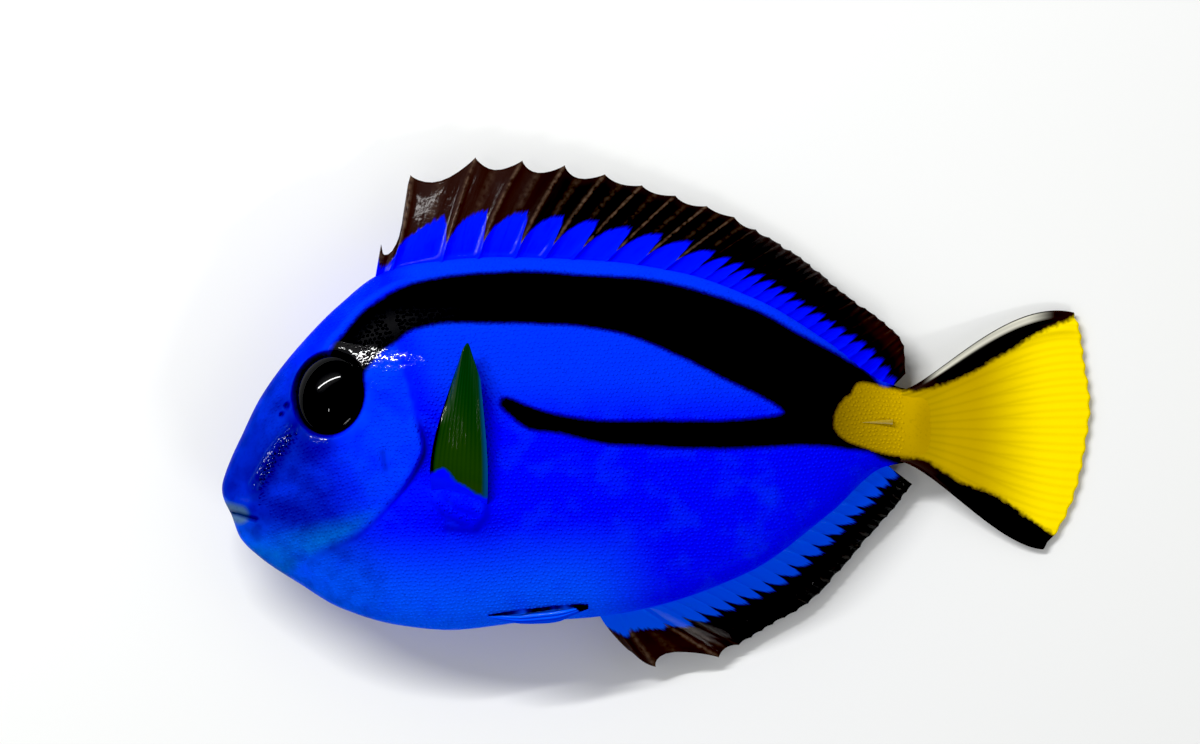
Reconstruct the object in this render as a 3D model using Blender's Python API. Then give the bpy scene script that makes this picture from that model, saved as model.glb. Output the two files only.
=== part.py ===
"""A regal blue tang, 56 mm long, lying on its right side with its left flank up.

The fish is first worked out upright, in millimetres: a station runs from the snout to the tail, a
height from the line through the middle of the tail stalk, and a side from the middle plane to the
fish's left. Laying it down turns stations into X, heights into Y and sides into Z, over a floor at 0.
"""

import math

import bmesh
import bpy
import numpy as np
from mathutils import Matrix, Vector

MM = 0.001
SIDES = (("left", 1), ("right", -1))

# Driving sizes, in millimetres
GAP = 0.3
TOTAL_LENGTH = 56.3
HIGHEST = 17.35
LOWEST = -15.7
MIDDLE_HEIGHT = 3.8
BODY_END = 46.0
STALK_START = 40.6
STALK_END = 44.7
CREST = 0.25
FIN_THICK = 0.5
RAY_THICK = 0.8
FIN_EDGE_THICK = 0.26
FIN_ROOT_THICK = 1.0
FIN_ROOT_REACH = 0.12
FIN_EDGE_REACH = 0.2

# Outline of the body without fins: station, height
BACK = [
    (0, -4.1), (0.2, -3.15), (1.16, -0.9), (2.45, 1.74), (5.0, 5.15), (7.6, 7.8), (10.2, 9.75),
    (12.8, 10.45), (17.9, 10.85), (24.4, 10.6), (29.5, 9.85), (34.7, 8.0), (39.2, 5.3),
    (42.8, 2.8), (44.7, 2.3), (BODY_END, 2.4),
]
BELLY = [
    (0, -4.1), (0.2, -4.95), (0.6, -5.75), (1.16, -7.2), (2.45, -8.5), (5.0, -10.2), (7.6, -11.75),
    (11.5, -12.9), (14.7, -13.2), (19.9, -12.65), (23.7, -12.4), (27.6, -11.75), (34.1, -9.4),
    (39.2, -5.7), (42.8, -2.7), (44.7, -2.4), (BODY_END, -2.5),
]
HALF_WIDTH = [
    (0, 0), (0.2, 0.75), (1.16, 1.45), (2.45, 2.05), (5.0, 2.85), (7.6, 3.4), (10.2, 3.8),
    (13.0, 4.05), (16.0, 4.12), (20.0, 4.0), (24.4, 3.65), (29.5, 3.0), (34.7, 2.2),
    (39.2, 1.5), (42.8, 1.05), (44.7, 0.85), (BODY_END, 0.7),
]

# Where the body is parted, from its upper to its lower edge. A gill cover lies between the cheek
# line and the gill line, from one height to another, and reaches down to a depth from the middle
GILL_LINE = [
    (10.3, 12.0), (10.4, 9.0), (11.3, 5.5), (12.1, 2.8), (12.6, 0.6), (13.1, -1.4), (12.6, -2.7),
    (11.7, -4.1), (10.1, -5.95), (8.6, -7.2), (6.4, -8.3), (5.1, -9.2), (4.3, -10.4), (3.9, -12.5),
]
CHEEK_LINE = [
    (11.6, 2.3), (10.8, 0.6), (10.5, -2.2), (10.0, -4.1), (8.7, -5.6), (7.0, -6.6), (6.1, -7.7),
]
JAW_LINE = [(-1.0, -5.5), (0.5, -5.6), (1.8, -5.8), (2.7, -6.7), (3.3, -8.0), (3.5, -11.0)]
GILL_COVER_HEIGHTS = (-8.5, 2.9)
GILL_COVER_DEPTH = 2.0
BELOW_BELLY = -13.0

# Eyes, each a flattened ball whose middle is under the skin, with a raised rim of radius, reach
# and height. Nostrils, each a place and a radius. Ridges and hollows: line, reach and height
EYE_PLACE = (7.0, 2.05)
EYE_RADII = (2.3, 2.65, 1.3)
EYE_DEPTH = 0.6
EYE_RIM = (2.9, 0.45, 0.24)
NOSTRILS = [((4.0, 1.3), 0.27), ((3.55, 0.65), 0.24)]
NOSTRIL_LIFT = 0.06
RIDGES = [
    ([(4.9, -0.2), (3.6, -2.0), (2.4, -4.0)], 0.7, -0.22),
    ([(5.6, -4.2), (8.6, -2.6)], 1.9, 0.18),
    ([(14.3, -5.1), (16.6, -5.9)], 1.1, 0.45),
    ([(0.5, -4.9), (1.7, -5.2)], 0.45, 0.22),
    ([(0.9, -6.3), (2.0, -6.5)], 0.45, 0.2),
]

# The tail sags from here until its fin lies on the floor
SAG_START = 33.0
SAG_END = 55.0
TAIL_HEIGHT = 0.3

# Dorsal fin: nine spines, then soft rays. Each table gives ray number and a size
DORSAL_RAYS = 28
DORSAL_ROOT = [
    (0, 10.75), (1, 14.05), (2, 16.65), (3, 19.0), (5, 23.1), (8, 28.5), (9, 29.9), (13, 32.9),
    (18, 36.6), (23, 40.1), (27, 43.0),
]
DORSAL_TIP_STATION = [
    (0, 12.1), (1, 16.3), (2, 19.35), (3, 22.1), (5, 27.1), (8, 33.1), (9, 34.5), (13, 37.4),
    (18, 40.3), (23, 43.35), (25, 44.1), (27, 44.2),
]
DORSAL_TIP_HEIGHT = [
    (0, 16.2), (1, HIGHEST), (2, 17.15), (3, 16.85), (5, 15.55), (8, 13.5), (9, 12.7),
    (13, 10.9), (18, 8.5), (23, 6.2), (25, 5.15), (27, 3.35),
]
DORSAL_BOW = [(0, 0.25), (1, -0.1), (2, -0.28), (4, -0.14), (9, -0.06), (27, 0)]
DORSAL_SCALLOP = [(0, 1.3), (1, 0.8), (3, 0.7), (4, 0.35), (8, 0.22), (9, 0.12), (27, 0.06)]
DORSAL_SAG = [(0, 2.2), (3, 2.5), (9, 2.9), (18, 2.6), (27, 0.9)]

# Anal fin: three spines, then soft rays
ANAL_RAYS = 22
ANAL_ROOT = [(0, 24.1), (1, 25.4), (2, 26.6), (3, 27.6), (12, 35.9), (21, 42.5)]
ANAL_TIP_STATION = [
    (0, 26.2), (1, 28.0), (2, 32.1), (3, 33.4), (6, 35.6), (9, 37.9), (12, 40.0), (15, 41.9),
    (18, 43.5), (21, 44.65),
]
ANAL_TIP_HEIGHT = [
    (0, -14.6), (1, LOWEST), (2, -15.1), (3, -14.3), (6, -12.95), (9, -11.6), (12, -9.45),
    (15, -7.2), (18, -5.4), (21, -3.85),
]
ANAL_BOW = [(0, -0.2), (3, -0.1), (21, 0)]
ANAL_SCALLOP = [(0, 0.15), (1, 1.1), (2, 0.4), (3, 0.12), (21, 0.06)]
ANAL_SAG = [(0, 2.6), (3, 3.1), (12, 3.0), (21, 1.6)]

# Tail fin, from its lowest ray to its highest
TAIL_RAYS = 16
TAIL_ROOT_STATION = STALK_END + GAP
TAIL_ROOT_HEIGHTS = (-2.4, 2.3)
TAIL_TIP = [
    (0, 53.2, -8.1), (0.1, 54.4, -6.5), (0.25, 55.4, -4.1), (0.42, 56.0, -1.2),
    (0.56, TOTAL_LENGTH, 1.2), (0.75, 55.9, 4.1), (0.9, 55.6, 6.2), (1, 55.2, 7.3),
]
TAIL_LOW_PULL = ((1.6, -0.85), (3.4, -0.25))
TAIL_MIDDLE_PULL = ((3.2, 0), (4.0, 0))
TAIL_HIGH_PULL = ((2.2, 0.3), (4.4, 1.1))
TAIL_SCALLOP = 0.12

# Breast fins. The left one stands off the flank, the right one lies under the body on the floor
PECTORAL_ROOT = ((13.9, -5.0), (17.0, -6.0))
PECTORAL_TIPS = [(0, 15.3, 3.8), (0.3, 15.75, 4.9), (0.6, 16.3, 4.6), (1, 16.75, 2.9)]
PECTORAL_BELLY = (-0.75, 0.3)
PECTORAL_RAYS = 10
PECTORAL_LIFT = 0.75
PECTORAL_RIGHT_SHIFT = 0.7
PECTORAL_POCKET = 0.85
PECTORAL_TIP_REACH = 0.15

# Belly fins, folded back along the belly: station, height, depth
PELVIC_LINE = [(17.3, -12.1, 0.6), (18.8, -12.0, 0.75), (21.2, -11.8, 0.7), (23.6, -11.45, 0.2)]
PELVIC_RAYS = 4
PELVIC_RIDGE = 0.12
PELVIC_TAPER = 0.45

# Folding spine on each side of the tail stalk
TAIL_SPINE_ROOT = (43.3, 0.2)
TAIL_SPINE_LENGTH = 2.1
TAIL_SPINE_RADIUS = 0.36
TAIL_SPINE_TIP = 0.06
TAIL_SPINE_LEAN = 0.12

# Mesh fineness: facets around and along the body, then across each ray and out along it
TRUNK_MESH = (38, 50)
HEAD_MESH = (50, 68)
SNOUT_CROWDING = 0.7
EYE_MESH = (20, 10)
MEDIAN_FIN_MESH = (4, 5)
PAIRED_FIN_MESH = (2, 7)
TAIL_FIN_MESH = (4, 8)
LINE_STEPS = 3

# Levels and heights past the whole fish, for cutters
UNDER = -2.0
OVER = 20.0

SKIN_BLUE = (0.0, 0.006, 0.85)
THROAT_BLUE = (0.0, 0.06, 0.72)
FIN_BLACK = (0.012, 0.006, 0.005)
TAIL_YELLOW = (0.95, 0.68, 0.0)
PECTORAL_GREEN = (0.02, 0.06, 0.002)
SPINE_IVORY = (0.7, 0.6, 0.4)
EYE_BLACK = (0.002, 0.002, 0.003)


def clear_scene():
    for obj in list(bpy.data.objects):
        bpy.data.objects.remove(obj, do_unlink=True)


def collection(name):
    made = bpy.data.collections.new(name)
    bpy.context.scene.collection.children.link(made)
    return made


def material(name, colour, roughness):
    made = bpy.data.materials.new(name)
    made.use_nodes = True
    shader = made.node_tree.nodes["Principled BSDF"]
    shader.inputs["Base Color"].default_value = (*colour, 1)
    shader.inputs["Roughness"].default_value = roughness
    shader.inputs["Metallic"].default_value = 0.0
    made.diffuse_color = (*colour, 1)
    return made


def smooth_line(points):
    """A function that runs smoothly through (place, value) points and never past them."""
    places, values = np.array(points, float).T
    steps = np.diff(places)
    slopes = np.diff(values) / steps
    tangents = np.concatenate([slopes[:1], np.zeros(len(slopes) - 1), slopes[-1:]])
    for i in range(1, len(slopes)):
        before, after = slopes[i - 1], slopes[i]
        if before * after > 0:
            tangents[i] = 2 * before * after / (before + after)

    def value(place):
        place = np.clip(place, places[0], places[-1])
        i = np.clip(np.searchsorted(places, place, side="right") - 1, 0, len(steps) - 1)
        t = (place - places[i]) / steps[i]
        rise = (3 - 2 * t) * t * t
        start_pull = t * (1 - t) ** 2 * steps[i] * tangents[i]
        end_pull = t * t * (t - 1) * steps[i] * tangents[i + 1]
        return values[i] * (1 - rise) + values[i + 1] * rise + start_pull + end_pull

    return value


def by_root(points):
    """A smooth line over the square root of the station, which rounds the snout."""
    line = smooth_line([(math.sqrt(station), value) for station, value in points])
    return lambda station: line(np.sqrt(np.maximum(station, 0)))


back = by_root(BACK)
belly = by_root(BELLY)
half_width = by_root(HALF_WIDTH)


def smooth_step(value, low, high):
    t = np.clip((value - low) / (high - low), 0, 1)
    return t * t * (3 - 2 * t)


def distance_to(points, station, height):
    """Distance from a place to a line of (station, height) points."""
    nearest = np.full(np.shape(station), np.inf)
    for (s0, h0), (s1, h1) in zip(points, points[1:]):
        ds, dh = s1 - s0, h1 - h0
        t = np.clip(((station - s0) * ds + (height - h0) * dh) / (ds * ds + dh * dh), 0, 1)
        nearest = np.minimum(nearest, np.hypot(station - s0 - t * ds, height - h0 - t * dh))
    return nearest


def rounded(points):
    """More points on a smooth curve through a line of points."""
    points = np.array(points, float)
    ends = np.vstack([2 * points[0] - points[1], points, 2 * points[-1] - points[-2]])
    found = []
    for a, b, c, d in zip(ends, ends[1:], ends[2:], ends[3:]):
        for t in np.arange(LINE_STEPS) / LINE_STEPS:
            pull = (c - a) * t + (2 * a - 5 * b + 4 * c - d) * t**2 + (3 * b - a - 3 * c + d) * t**3
            found.append(b + pull / 2)
    return np.array([*found, points[-1]])


def relief(station, height):
    """How far the ridges and hollows of the skin stand out to the side."""
    out = np.zeros(np.shape(station))
    for points, reach, rise in RIDGES:
        out = out + rise * np.exp(-((distance_to(points, station, height) / reach) ** 2))
    radius, reach, rise = EYE_RIM
    squash = EYE_RADII[0] / EYE_RADII[1]
    from_eye = np.hypot(station - EYE_PLACE[0], (height - EYE_PLACE[1]) * squash)
    return out + rise * np.exp(-(((from_eye - radius) / reach) ** 2))


def section(station):
    """Middle height, half height and half width of the body at a station."""
    top, bottom = back(station), belly(station)
    return (top + bottom) / 2, (top - bottom) / 2, half_width(station)


def fullness(share):
    """How round the section is: its back is keener than its belly."""
    return 1.12 + 0.12 * share


def flank(station, height):
    """How far the skin stands from the middle plane at a place on the flank."""
    middle, half, width = section(station)
    share = np.clip((height - middle) / half, -1, 1)
    side = width * (1 - share**2) ** (fullness(share) / 2)
    return side + relief(station, height) * np.minimum(side / width * 2, 1)


def off_flank(station, height, distance):
    """A place at a distance from the skin: station, height and side."""
    step = 0.05
    ahead, behind = flank(station + step, height), flank(station - step, height)
    above, below = flank(station, height + step), flank(station, height - step)
    normal = Vector((float(behind - ahead), float(below - above), 2 * step)).normalized()
    return Vector((station, height, float(flank(station, height)))) + normal * distance


def middle_plane(station):
    """Height over the floor of the fish's middle plane: level, then sagging to the tail's end."""
    t = np.clip((station - SAG_START) / (SAG_END - SAG_START), 0, 1)
    drop = t**3 * (10 - 15 * t + 6 * t * t)
    return MIDDLE_HEIGHT + (TAIL_HEIGHT - MIDDLE_HEIGHT) * drop


def laid(station, height, level):
    """A place on the laid fish, in metres. The origin is under the middle of its outline."""
    x = station - TOTAL_LENGTH / 2
    y = height - (HIGHEST + LOWEST) / 2
    return Vector((x * MM, y * MM, level * MM))


def add_object(bm, name, group, shade=None, part_material=None):
    mesh = bpy.data.meshes.new(name)
    bmesh.ops.recalc_face_normals(bm, faces=bm.faces)
    if bm.calc_volume(signed=True) < 0:
        bmesh.ops.reverse_faces(bm, faces=bm.faces)
    bm.to_mesh(mesh)
    bm.free()
    obj = bpy.data.objects.new(name, mesh)
    group.objects.link(obj)
    if part_material:
        mesh.materials.append(part_material)
    if shade:
        mesh.shade_smooth()
        mesh.set_sharp_from_angle(angle=shade)
    return obj


def make_cutter(obj):
    obj.hide_render = True
    obj.display_type = "WIRE"
    return obj


def ring_station(along):
    """Station of a ring at a share of the body: rings crowd towards the snout."""
    return BODY_END * along**2 / (SNOUT_CROWDING * along + 1 - SNOUT_CROWDING)


def body_mesh(around, rings):
    """The whole body as one closed form, flat where its right flank lies on the floor."""
    bm = bmesh.new()
    bmesh.ops.create_uvsphere(bm, u_segments=around, v_segments=rings, radius=1)
    for vertex in bm.verts:
        along = math.acos(max(-1, min(1, vertex.co.z))) / math.pi
        turn = math.atan2(vertex.co.y, vertex.co.x)
        station = ring_station(along)
        middle, half, width = section(station)
        crest = CREST * smooth_step(station, 2, 9)
        share = math.sin(turn)
        height = middle + (half + crest) * share
        side = width * abs(math.cos(turn)) ** fullness(share)
        height = min(max(height, middle - half), middle + half)
        side += relief(station, height) * min(side / max(width, 1e-6) * 2, 1)
        side = math.copysign(side, math.cos(turn))
        vertex.co = laid(station, height, middle_plane(station) + side)
    floor = bmesh.ops.bisect_plane(
        bm,
        geom=[*bm.verts, *bm.edges, *bm.faces],
        plane_co=(0, 0, 0),
        plane_no=(0, 0, -1),
        clear_outer=True,
    )
    rim = [item for item in floor["geom_cut"] if isinstance(item, bmesh.types.BMEdge)]
    bmesh.ops.edgeloop_fill(bm, edges=rim)
    return bm


def prism(name, outline, low, high, group):
    """A closed block with a flat outline of (station, height) points, from one level to another."""
    data = bpy.data.curves.new(name, "CURVE")
    data.dimensions = "2D"
    data.fill_mode = "BOTH"
    data.extrude = (high - low) / 2 * MM
    spline = data.splines.new("POLY")
    spline.points.add(len(outline) - 1)
    for point, (station, height) in zip(spline.points, outline):
        place = laid(station, height, 0)
        point.co = (place.x, place.y, 0, 1)
    spline.use_cyclic_u = True
    guide = bpy.data.objects.new(name, data)
    group.objects.link(guide)
    guide.location.z = (low + high) / 2 * MM
    bpy.context.view_layer.update()
    return mesh_of(guide, group)


def mesh_of(guide, group):
    """The closed mesh of a curve object, which it replaces."""
    graph = bpy.context.evaluated_depsgraph_get()
    mesh = bpy.data.meshes.new_from_object(guide.evaluated_get(graph))
    mesh.transform(guide.matrix_world)
    name = guide.name
    bpy.data.objects.remove(guide, do_unlink=True)
    bm = bmesh.new()
    bm.from_mesh(mesh)
    bmesh.ops.remove_doubles(bm, verts=bm.verts, dist=1e-7)
    return make_cutter(add_object(bm, name, group))


def shifted(line, distance):
    """The line moved sideways: to its right, seen along it, where the distance is positive."""
    points = np.array(line, float)
    along = np.gradient(points, axis=0)
    along /= np.linalg.norm(along, axis=1)[:, None]
    return points + distance * np.column_stack([along[:, 1], -along[:, 0]])


def grown(ring, distance):
    """A closed outline moved outward all round."""
    points = np.array(ring, float)
    before, after = np.roll(points, 1, axis=0), np.roll(points, -1, axis=0)
    area = np.sum(points[:, 0] * after[:, 1] - after[:, 0] * points[:, 1])
    ways = [after - points, points - before]
    first, second = [way / np.linalg.norm(way, axis=1)[:, None] for way in ways]
    along = first + second
    along /= np.linalg.norm(along, axis=1)[:, None]
    reach = distance / np.maximum(np.sum(along * first, axis=1), 0.6)
    outward = np.column_stack([along[:, 1], -along[:, 0]]) * math.copysign(1, area)
    return [tuple(point) for point in points + outward * reach[:, None]]


def cut(obj, other, operation):
    modifier = obj.modifiers.new(other.name, "BOOLEAN")
    modifier.operation = operation
    modifier.object = other
    modifier.solver = "EXACT"


def largest_only(obj):
    """Applies the modifiers and keeps the largest closed surface."""
    graph = bpy.context.evaluated_depsgraph_get()
    mesh = bpy.data.meshes.new_from_object(obj.evaluated_get(graph))
    obj.modifiers.clear()
    obj.data = mesh
    bm = bmesh.new()
    bm.from_mesh(mesh)
    bmesh.ops.remove_doubles(bm, verts=bm.verts, dist=1e-7)
    left = set(bm.verts)
    pieces = []
    while left:
        found = [left.pop()]
        for vertex in found:
            for edge in vertex.link_edges:
                other = edge.other_vert(vertex)
                if other in left:
                    left.remove(other)
                    found.append(other)
        pieces.append(found)
    pieces.sort(key=len)
    for piece in pieces[:-1]:
        bmesh.ops.delete(bm, geom=piece, context="VERTS")
    bmesh.ops.triangulate(bm, faces=bm.faces)
    bm.to_mesh(mesh)
    bm.free()
    mesh.shade_smooth()
    mesh.set_sharp_from_angle(angle=math.radians(35))


def flesh_part(name, region, cutters, group, part_material, cuts=(), fineness=HEAD_MESH):
    """The share of the body inside a region of the side view, less other cutters."""
    obj = add_object(body_mesh(*fineness), name, group, part_material=part_material)
    cut(obj, prism(name + "_region", region, UNDER, OVER, cutters), "INTERSECT")
    for other in cuts:
        cut(obj, other, "DIFFERENCE")
    largest_only(obj)
    return obj


def set_in_flank(bm, side):
    """Turns an upright form along the flank's normal and sinks its middle under the skin."""
    centre = off_flank(*EYE_PLACE, -EYE_DEPTH)
    outward = off_flank(*EYE_PLACE, 0) - centre
    turn = Vector((0, 0, 1)).rotation_difference(outward).to_matrix()
    bmesh.ops.rotate(bm, verts=bm.verts, matrix=turn)
    bmesh.ops.scale(bm, verts=bm.verts, vec=(1, 1, side))
    place = laid(centre.x, centre.y, MIDDLE_HEIGHT + side * centre.z)
    bmesh.ops.translate(bm, verts=bm.verts, vec=place)


def eye_form(name, side, group):
    """The flattened ball of an eye."""
    around, rings = EYE_MESH
    bm = bmesh.new()
    bmesh.ops.create_uvsphere(bm, u_segments=around, v_segments=rings, radius=1)
    bmesh.ops.scale(bm, verts=bm.verts, vec=[radius * MM for radius in EYE_RADII])
    set_in_flank(bm, side)
    return add_object(bm, name, group, shade=math.radians(40))


def socket_form(name, side, group):
    """The pit that an eye sits in, with straight walls all round it."""
    bm = bmesh.new()
    bmesh.ops.create_cone(
        bm, cap_ends=True, segments=EYE_MESH[0], radius1=1, radius2=1, depth=2
    )
    bmesh.ops.scale(bm, verts=bm.verts, vec=[(radius + GAP) * MM for radius in EYE_RADII])
    set_in_flank(bm, side)
    return make_cutter(add_object(bm, name, group))


def nostril_form(name, place, radius, side, group):
    bm = bmesh.new()
    bmesh.ops.create_uvsphere(bm, u_segments=10, v_segments=7, radius=radius * MM)
    centre = off_flank(*place, NOSTRIL_LIFT)
    spot = laid(centre.x, centre.y, MIDDLE_HEIGHT + side * centre.z)
    bmesh.ops.translate(bm, verts=bm.verts, vec=spot)
    return make_cutter(add_object(bm, name, group))


def fin_sheet(columns, rows, place):
    """A closed thin sheet. place takes a share along the root, a share out to the edge and a face of
    -1 or 1, and gives station, height and level. Both faces are split into triangles alike."""
    bm = bmesh.new()
    bmesh.ops.create_grid(bm, x_segments=columns, y_segments=rows, size=0.5)
    bmesh.ops.triangulate(bm, faces=bm.faces, quad_method="FIXED")
    bmesh.ops.solidify(bm, geom=bm.faces, thickness=1)
    low = min(vertex.co.z for vertex in bm.verts)
    for vertex in bm.verts:
        face = -1 if vertex.co.z < low + 0.5 else 1
        vertex.co = laid(*place(vertex.co.x + 0.5, vertex.co.y + 0.5, face))
    return bm


def ray_swell(number):
    """From 0 between two rays to 1 on a ray."""
    return 0.5 + 0.5 * math.cos(2 * math.pi * number)


def fin_half_thickness(number, out):
    """Half the thickness of a fin: thick at its root and on its rays, thin at its edge."""
    swell = FIN_THICK + (RAY_THICK - FIN_THICK) * ray_swell(number)
    share = min(out / FIN_ROOT_REACH, 1)
    thick = FIN_ROOT_THICK * (1 - share) + swell * share
    edge = smooth_step(out, 1 - FIN_EDGE_REACH, 1)
    return float(thick * (1 - edge) + FIN_EDGE_THICK * edge) / 2


def edge_dip(number, scallop):
    """How far the fin's edge falls back between two rays."""
    share = number % 1
    return float(scallop(math.floor(number))) * math.sin(math.pi * share) ** 0.8


def median_fin(rays, root, tip_station, tip_height, bow, scallop, sag, outline):
    """place function of the dorsal or the anal fin. outline gives the root's height."""
    tables = (root, tip_station, tip_height, bow, scallop, sag)
    lines = [smooth_line(table) for table in tables]
    root_line, station_line, height_line, bow_line, scallop_line, sag_line = lines

    def place(along, out, face):
        number = along * (rays - 1)
        root_station = float(root_line(number))
        edge = float(outline(root_station))
        start = Vector((root_station, edge + math.copysign(GAP, edge)))
        end = Vector((float(station_line(number)), float(height_line(number))))
        reach = (end - start).length
        dip = edge_dip(number, scallop_line) if number < rays - 1 else 0
        end = start.lerp(end, 1 - dip / reach)
        spot = start.lerp(end, out)
        spot.x += float(bow_line(number)) * math.sin(math.pi * out)
        droop = float(sag_line(number)) * out**1.3
        level = float(middle_plane(root_station)) - droop
        level += face * fin_half_thickness(number, out)
        return spot.x, spot.y, max(level, 0)

    return place


def tail_fin(along, out, face):
    """place function of the tail fin, whose outer rays bend outward."""
    number = along * (TAIL_RAYS - 1)
    lean = 2 * along - 1
    shares = [point[0] for point in TAIL_TIP]
    station = float(smooth_line(list(zip(shares, [p[1] for p in TAIL_TIP])))(along))
    height = float(smooth_line(list(zip(shares, [p[2] for p in TAIL_TIP])))(along))
    low, high = TAIL_ROOT_HEIGHTS
    start = Vector((TAIL_ROOT_STATION, low + (high - low) * along))
    end = Vector((station - TAIL_SCALLOP * (1 - ray_swell(number)), height))
    outer = TAIL_HIGH_PULL if lean > 0 else TAIL_LOW_PULL
    near_pull, far_pull = [
        Vector(middle).lerp(Vector(edge), lean * lean)
        for middle, edge in zip(TAIL_MIDDLE_PULL, outer)
    ]
    near = start + near_pull
    far = end + Vector((-far_pull.x, far_pull.y))
    spot = (
        start * (1 - out) ** 3
        + near * 3 * out * (1 - out) ** 2
        + far * 3 * out * out * (1 - out)
        + end * out**3
    )
    level = float(middle_plane(spot.x)) + face * fin_half_thickness(number, out)
    return spot.x, spot.y, max(level, 0)


def pectoral_outline(along, out):
    """A place in the breast fin, whose rays run up from its root and close towards the tip."""
    shares = [point[0] for point in PECTORAL_TIPS]
    tip = Vector(
        float(smooth_line(list(zip(shares, [p[i] for p in PECTORAL_TIPS])))(along)) for i in (1, 2)
    )
    start = Vector(PECTORAL_ROOT[0]).lerp(Vector(PECTORAL_ROOT[1]), along)
    spot = start.lerp(tip, out)
    front, rear = PECTORAL_BELLY
    bulge = (front * (1 - along) + rear * along) * math.sin(math.pi * out**0.7)
    return spot.x + bulge, spot.y


def pectoral_thickness(along, out):
    number = along * (PECTORAL_RAYS - 1)
    thick = FIN_THICK + (RAY_THICK - FIN_THICK) * 0.6 * ray_swell(number)
    tip = smooth_step(out, 1 - PECTORAL_TIP_REACH, 1)
    return float(thick * (1 - tip) + FIN_EDGE_THICK * tip)


def left_pectoral(along, out, face):
    distance = GAP + PECTORAL_LIFT * out**1.5
    if face > 0:
        distance += pectoral_thickness(along, out)
    station, height, side = off_flank(*pectoral_outline(along, out), distance)
    return station, height, MIDDLE_HEIGHT + side


def right_pectoral(along, out, face):
    station, height = pectoral_outline(along, out)
    return station + PECTORAL_RIGHT_SHIFT, height, FIN_THICK if face > 0 else 0


def pectoral_pocket(cutters):
    """The hollow that the right breast fin presses into the flank."""
    front = [pectoral_outline(0, out) for out in np.linspace(0, 1, 12)]
    tips = [pectoral_outline(along, 1) for along in np.linspace(0, 1, 6)[1:-1]]
    rear = [pectoral_outline(1, out) for out in np.linspace(1, 0, 12)]
    ring = np.array([*front, *tips, *rear]) + (PECTORAL_RIGHT_SHIFT, 0)
    return prism("right_pectoral_pocket", grown(ring, GAP), UNDER, PECTORAL_POCKET, cutters)


def pelvic_fin(side):
    """place function of a belly fin, folded flat along the belly."""
    stations = [point[0] for point in PELVIC_LINE]
    height_line = smooth_line([point[:2] for point in PELVIC_LINE])
    depth_line = smooth_line([(point[0], point[2]) for point in PELVIC_LINE])

    def place(along, out, face):
        station = stations[0] + (stations[-1] - stations[0]) * out
        depth = float(depth_line(station))
        height = float(height_line(station)) + (along - 0.5) * depth
        swell = PELVIC_RIDGE * ray_swell(along * (PELVIC_RAYS - 1))
        thick = (FIN_THICK + swell) * (1 - PELVIC_TAPER * smooth_step(out, 0.7, 1))
        distance = GAP + (thick if face * side > 0 else 0)
        station, height, reach = off_flank(station, height, distance)
        return station, height, float(middle_plane(station)) + side * reach

    return place


def tail_spine_form(name, side, extra, group):
    """The folding spine, a curved cone along the tail stalk whose point looks forward."""
    bm = bmesh.new()
    length = TAIL_SPINE_LENGTH + 2 * extra
    bmesh.ops.create_cone(
        bm,
        cap_ends=True,
        segments=10,
        radius1=(TAIL_SPINE_RADIUS + extra) * MM,
        radius2=(TAIL_SPINE_TIP + extra) * MM,
        depth=length * MM,
    )
    bmesh.ops.rotate(bm, verts=bm.verts, matrix=Matrix.Rotation(-math.pi / 2, 3, "Y"))
    station, height = TAIL_SPINE_ROOT
    middle = station - TAIL_SPINE_LENGTH / 2
    level = float(middle_plane(middle)) + side * float(flank(middle, height))
    slope = (float(middle_plane(station)) - float(middle_plane(station - 2))) / 2
    slope -= side * TAIL_SPINE_LEAN
    bmesh.ops.rotate(bm, verts=bm.verts, matrix=Matrix.Rotation(-math.atan(slope), 3, "Y"))
    bmesh.ops.translate(bm, verts=bm.verts, vec=laid(middle, height, level))
    return add_object(bm, name, group, shade=math.radians(40))


def front_of(line, distance, far=-5.0):
    """The region in front of a line that runs from the back to the belly."""
    edge = [tuple(point) for point in shifted(line, distance)]
    return [(far, edge[0][1]), *edge, (far, edge[-1][1])]


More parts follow.
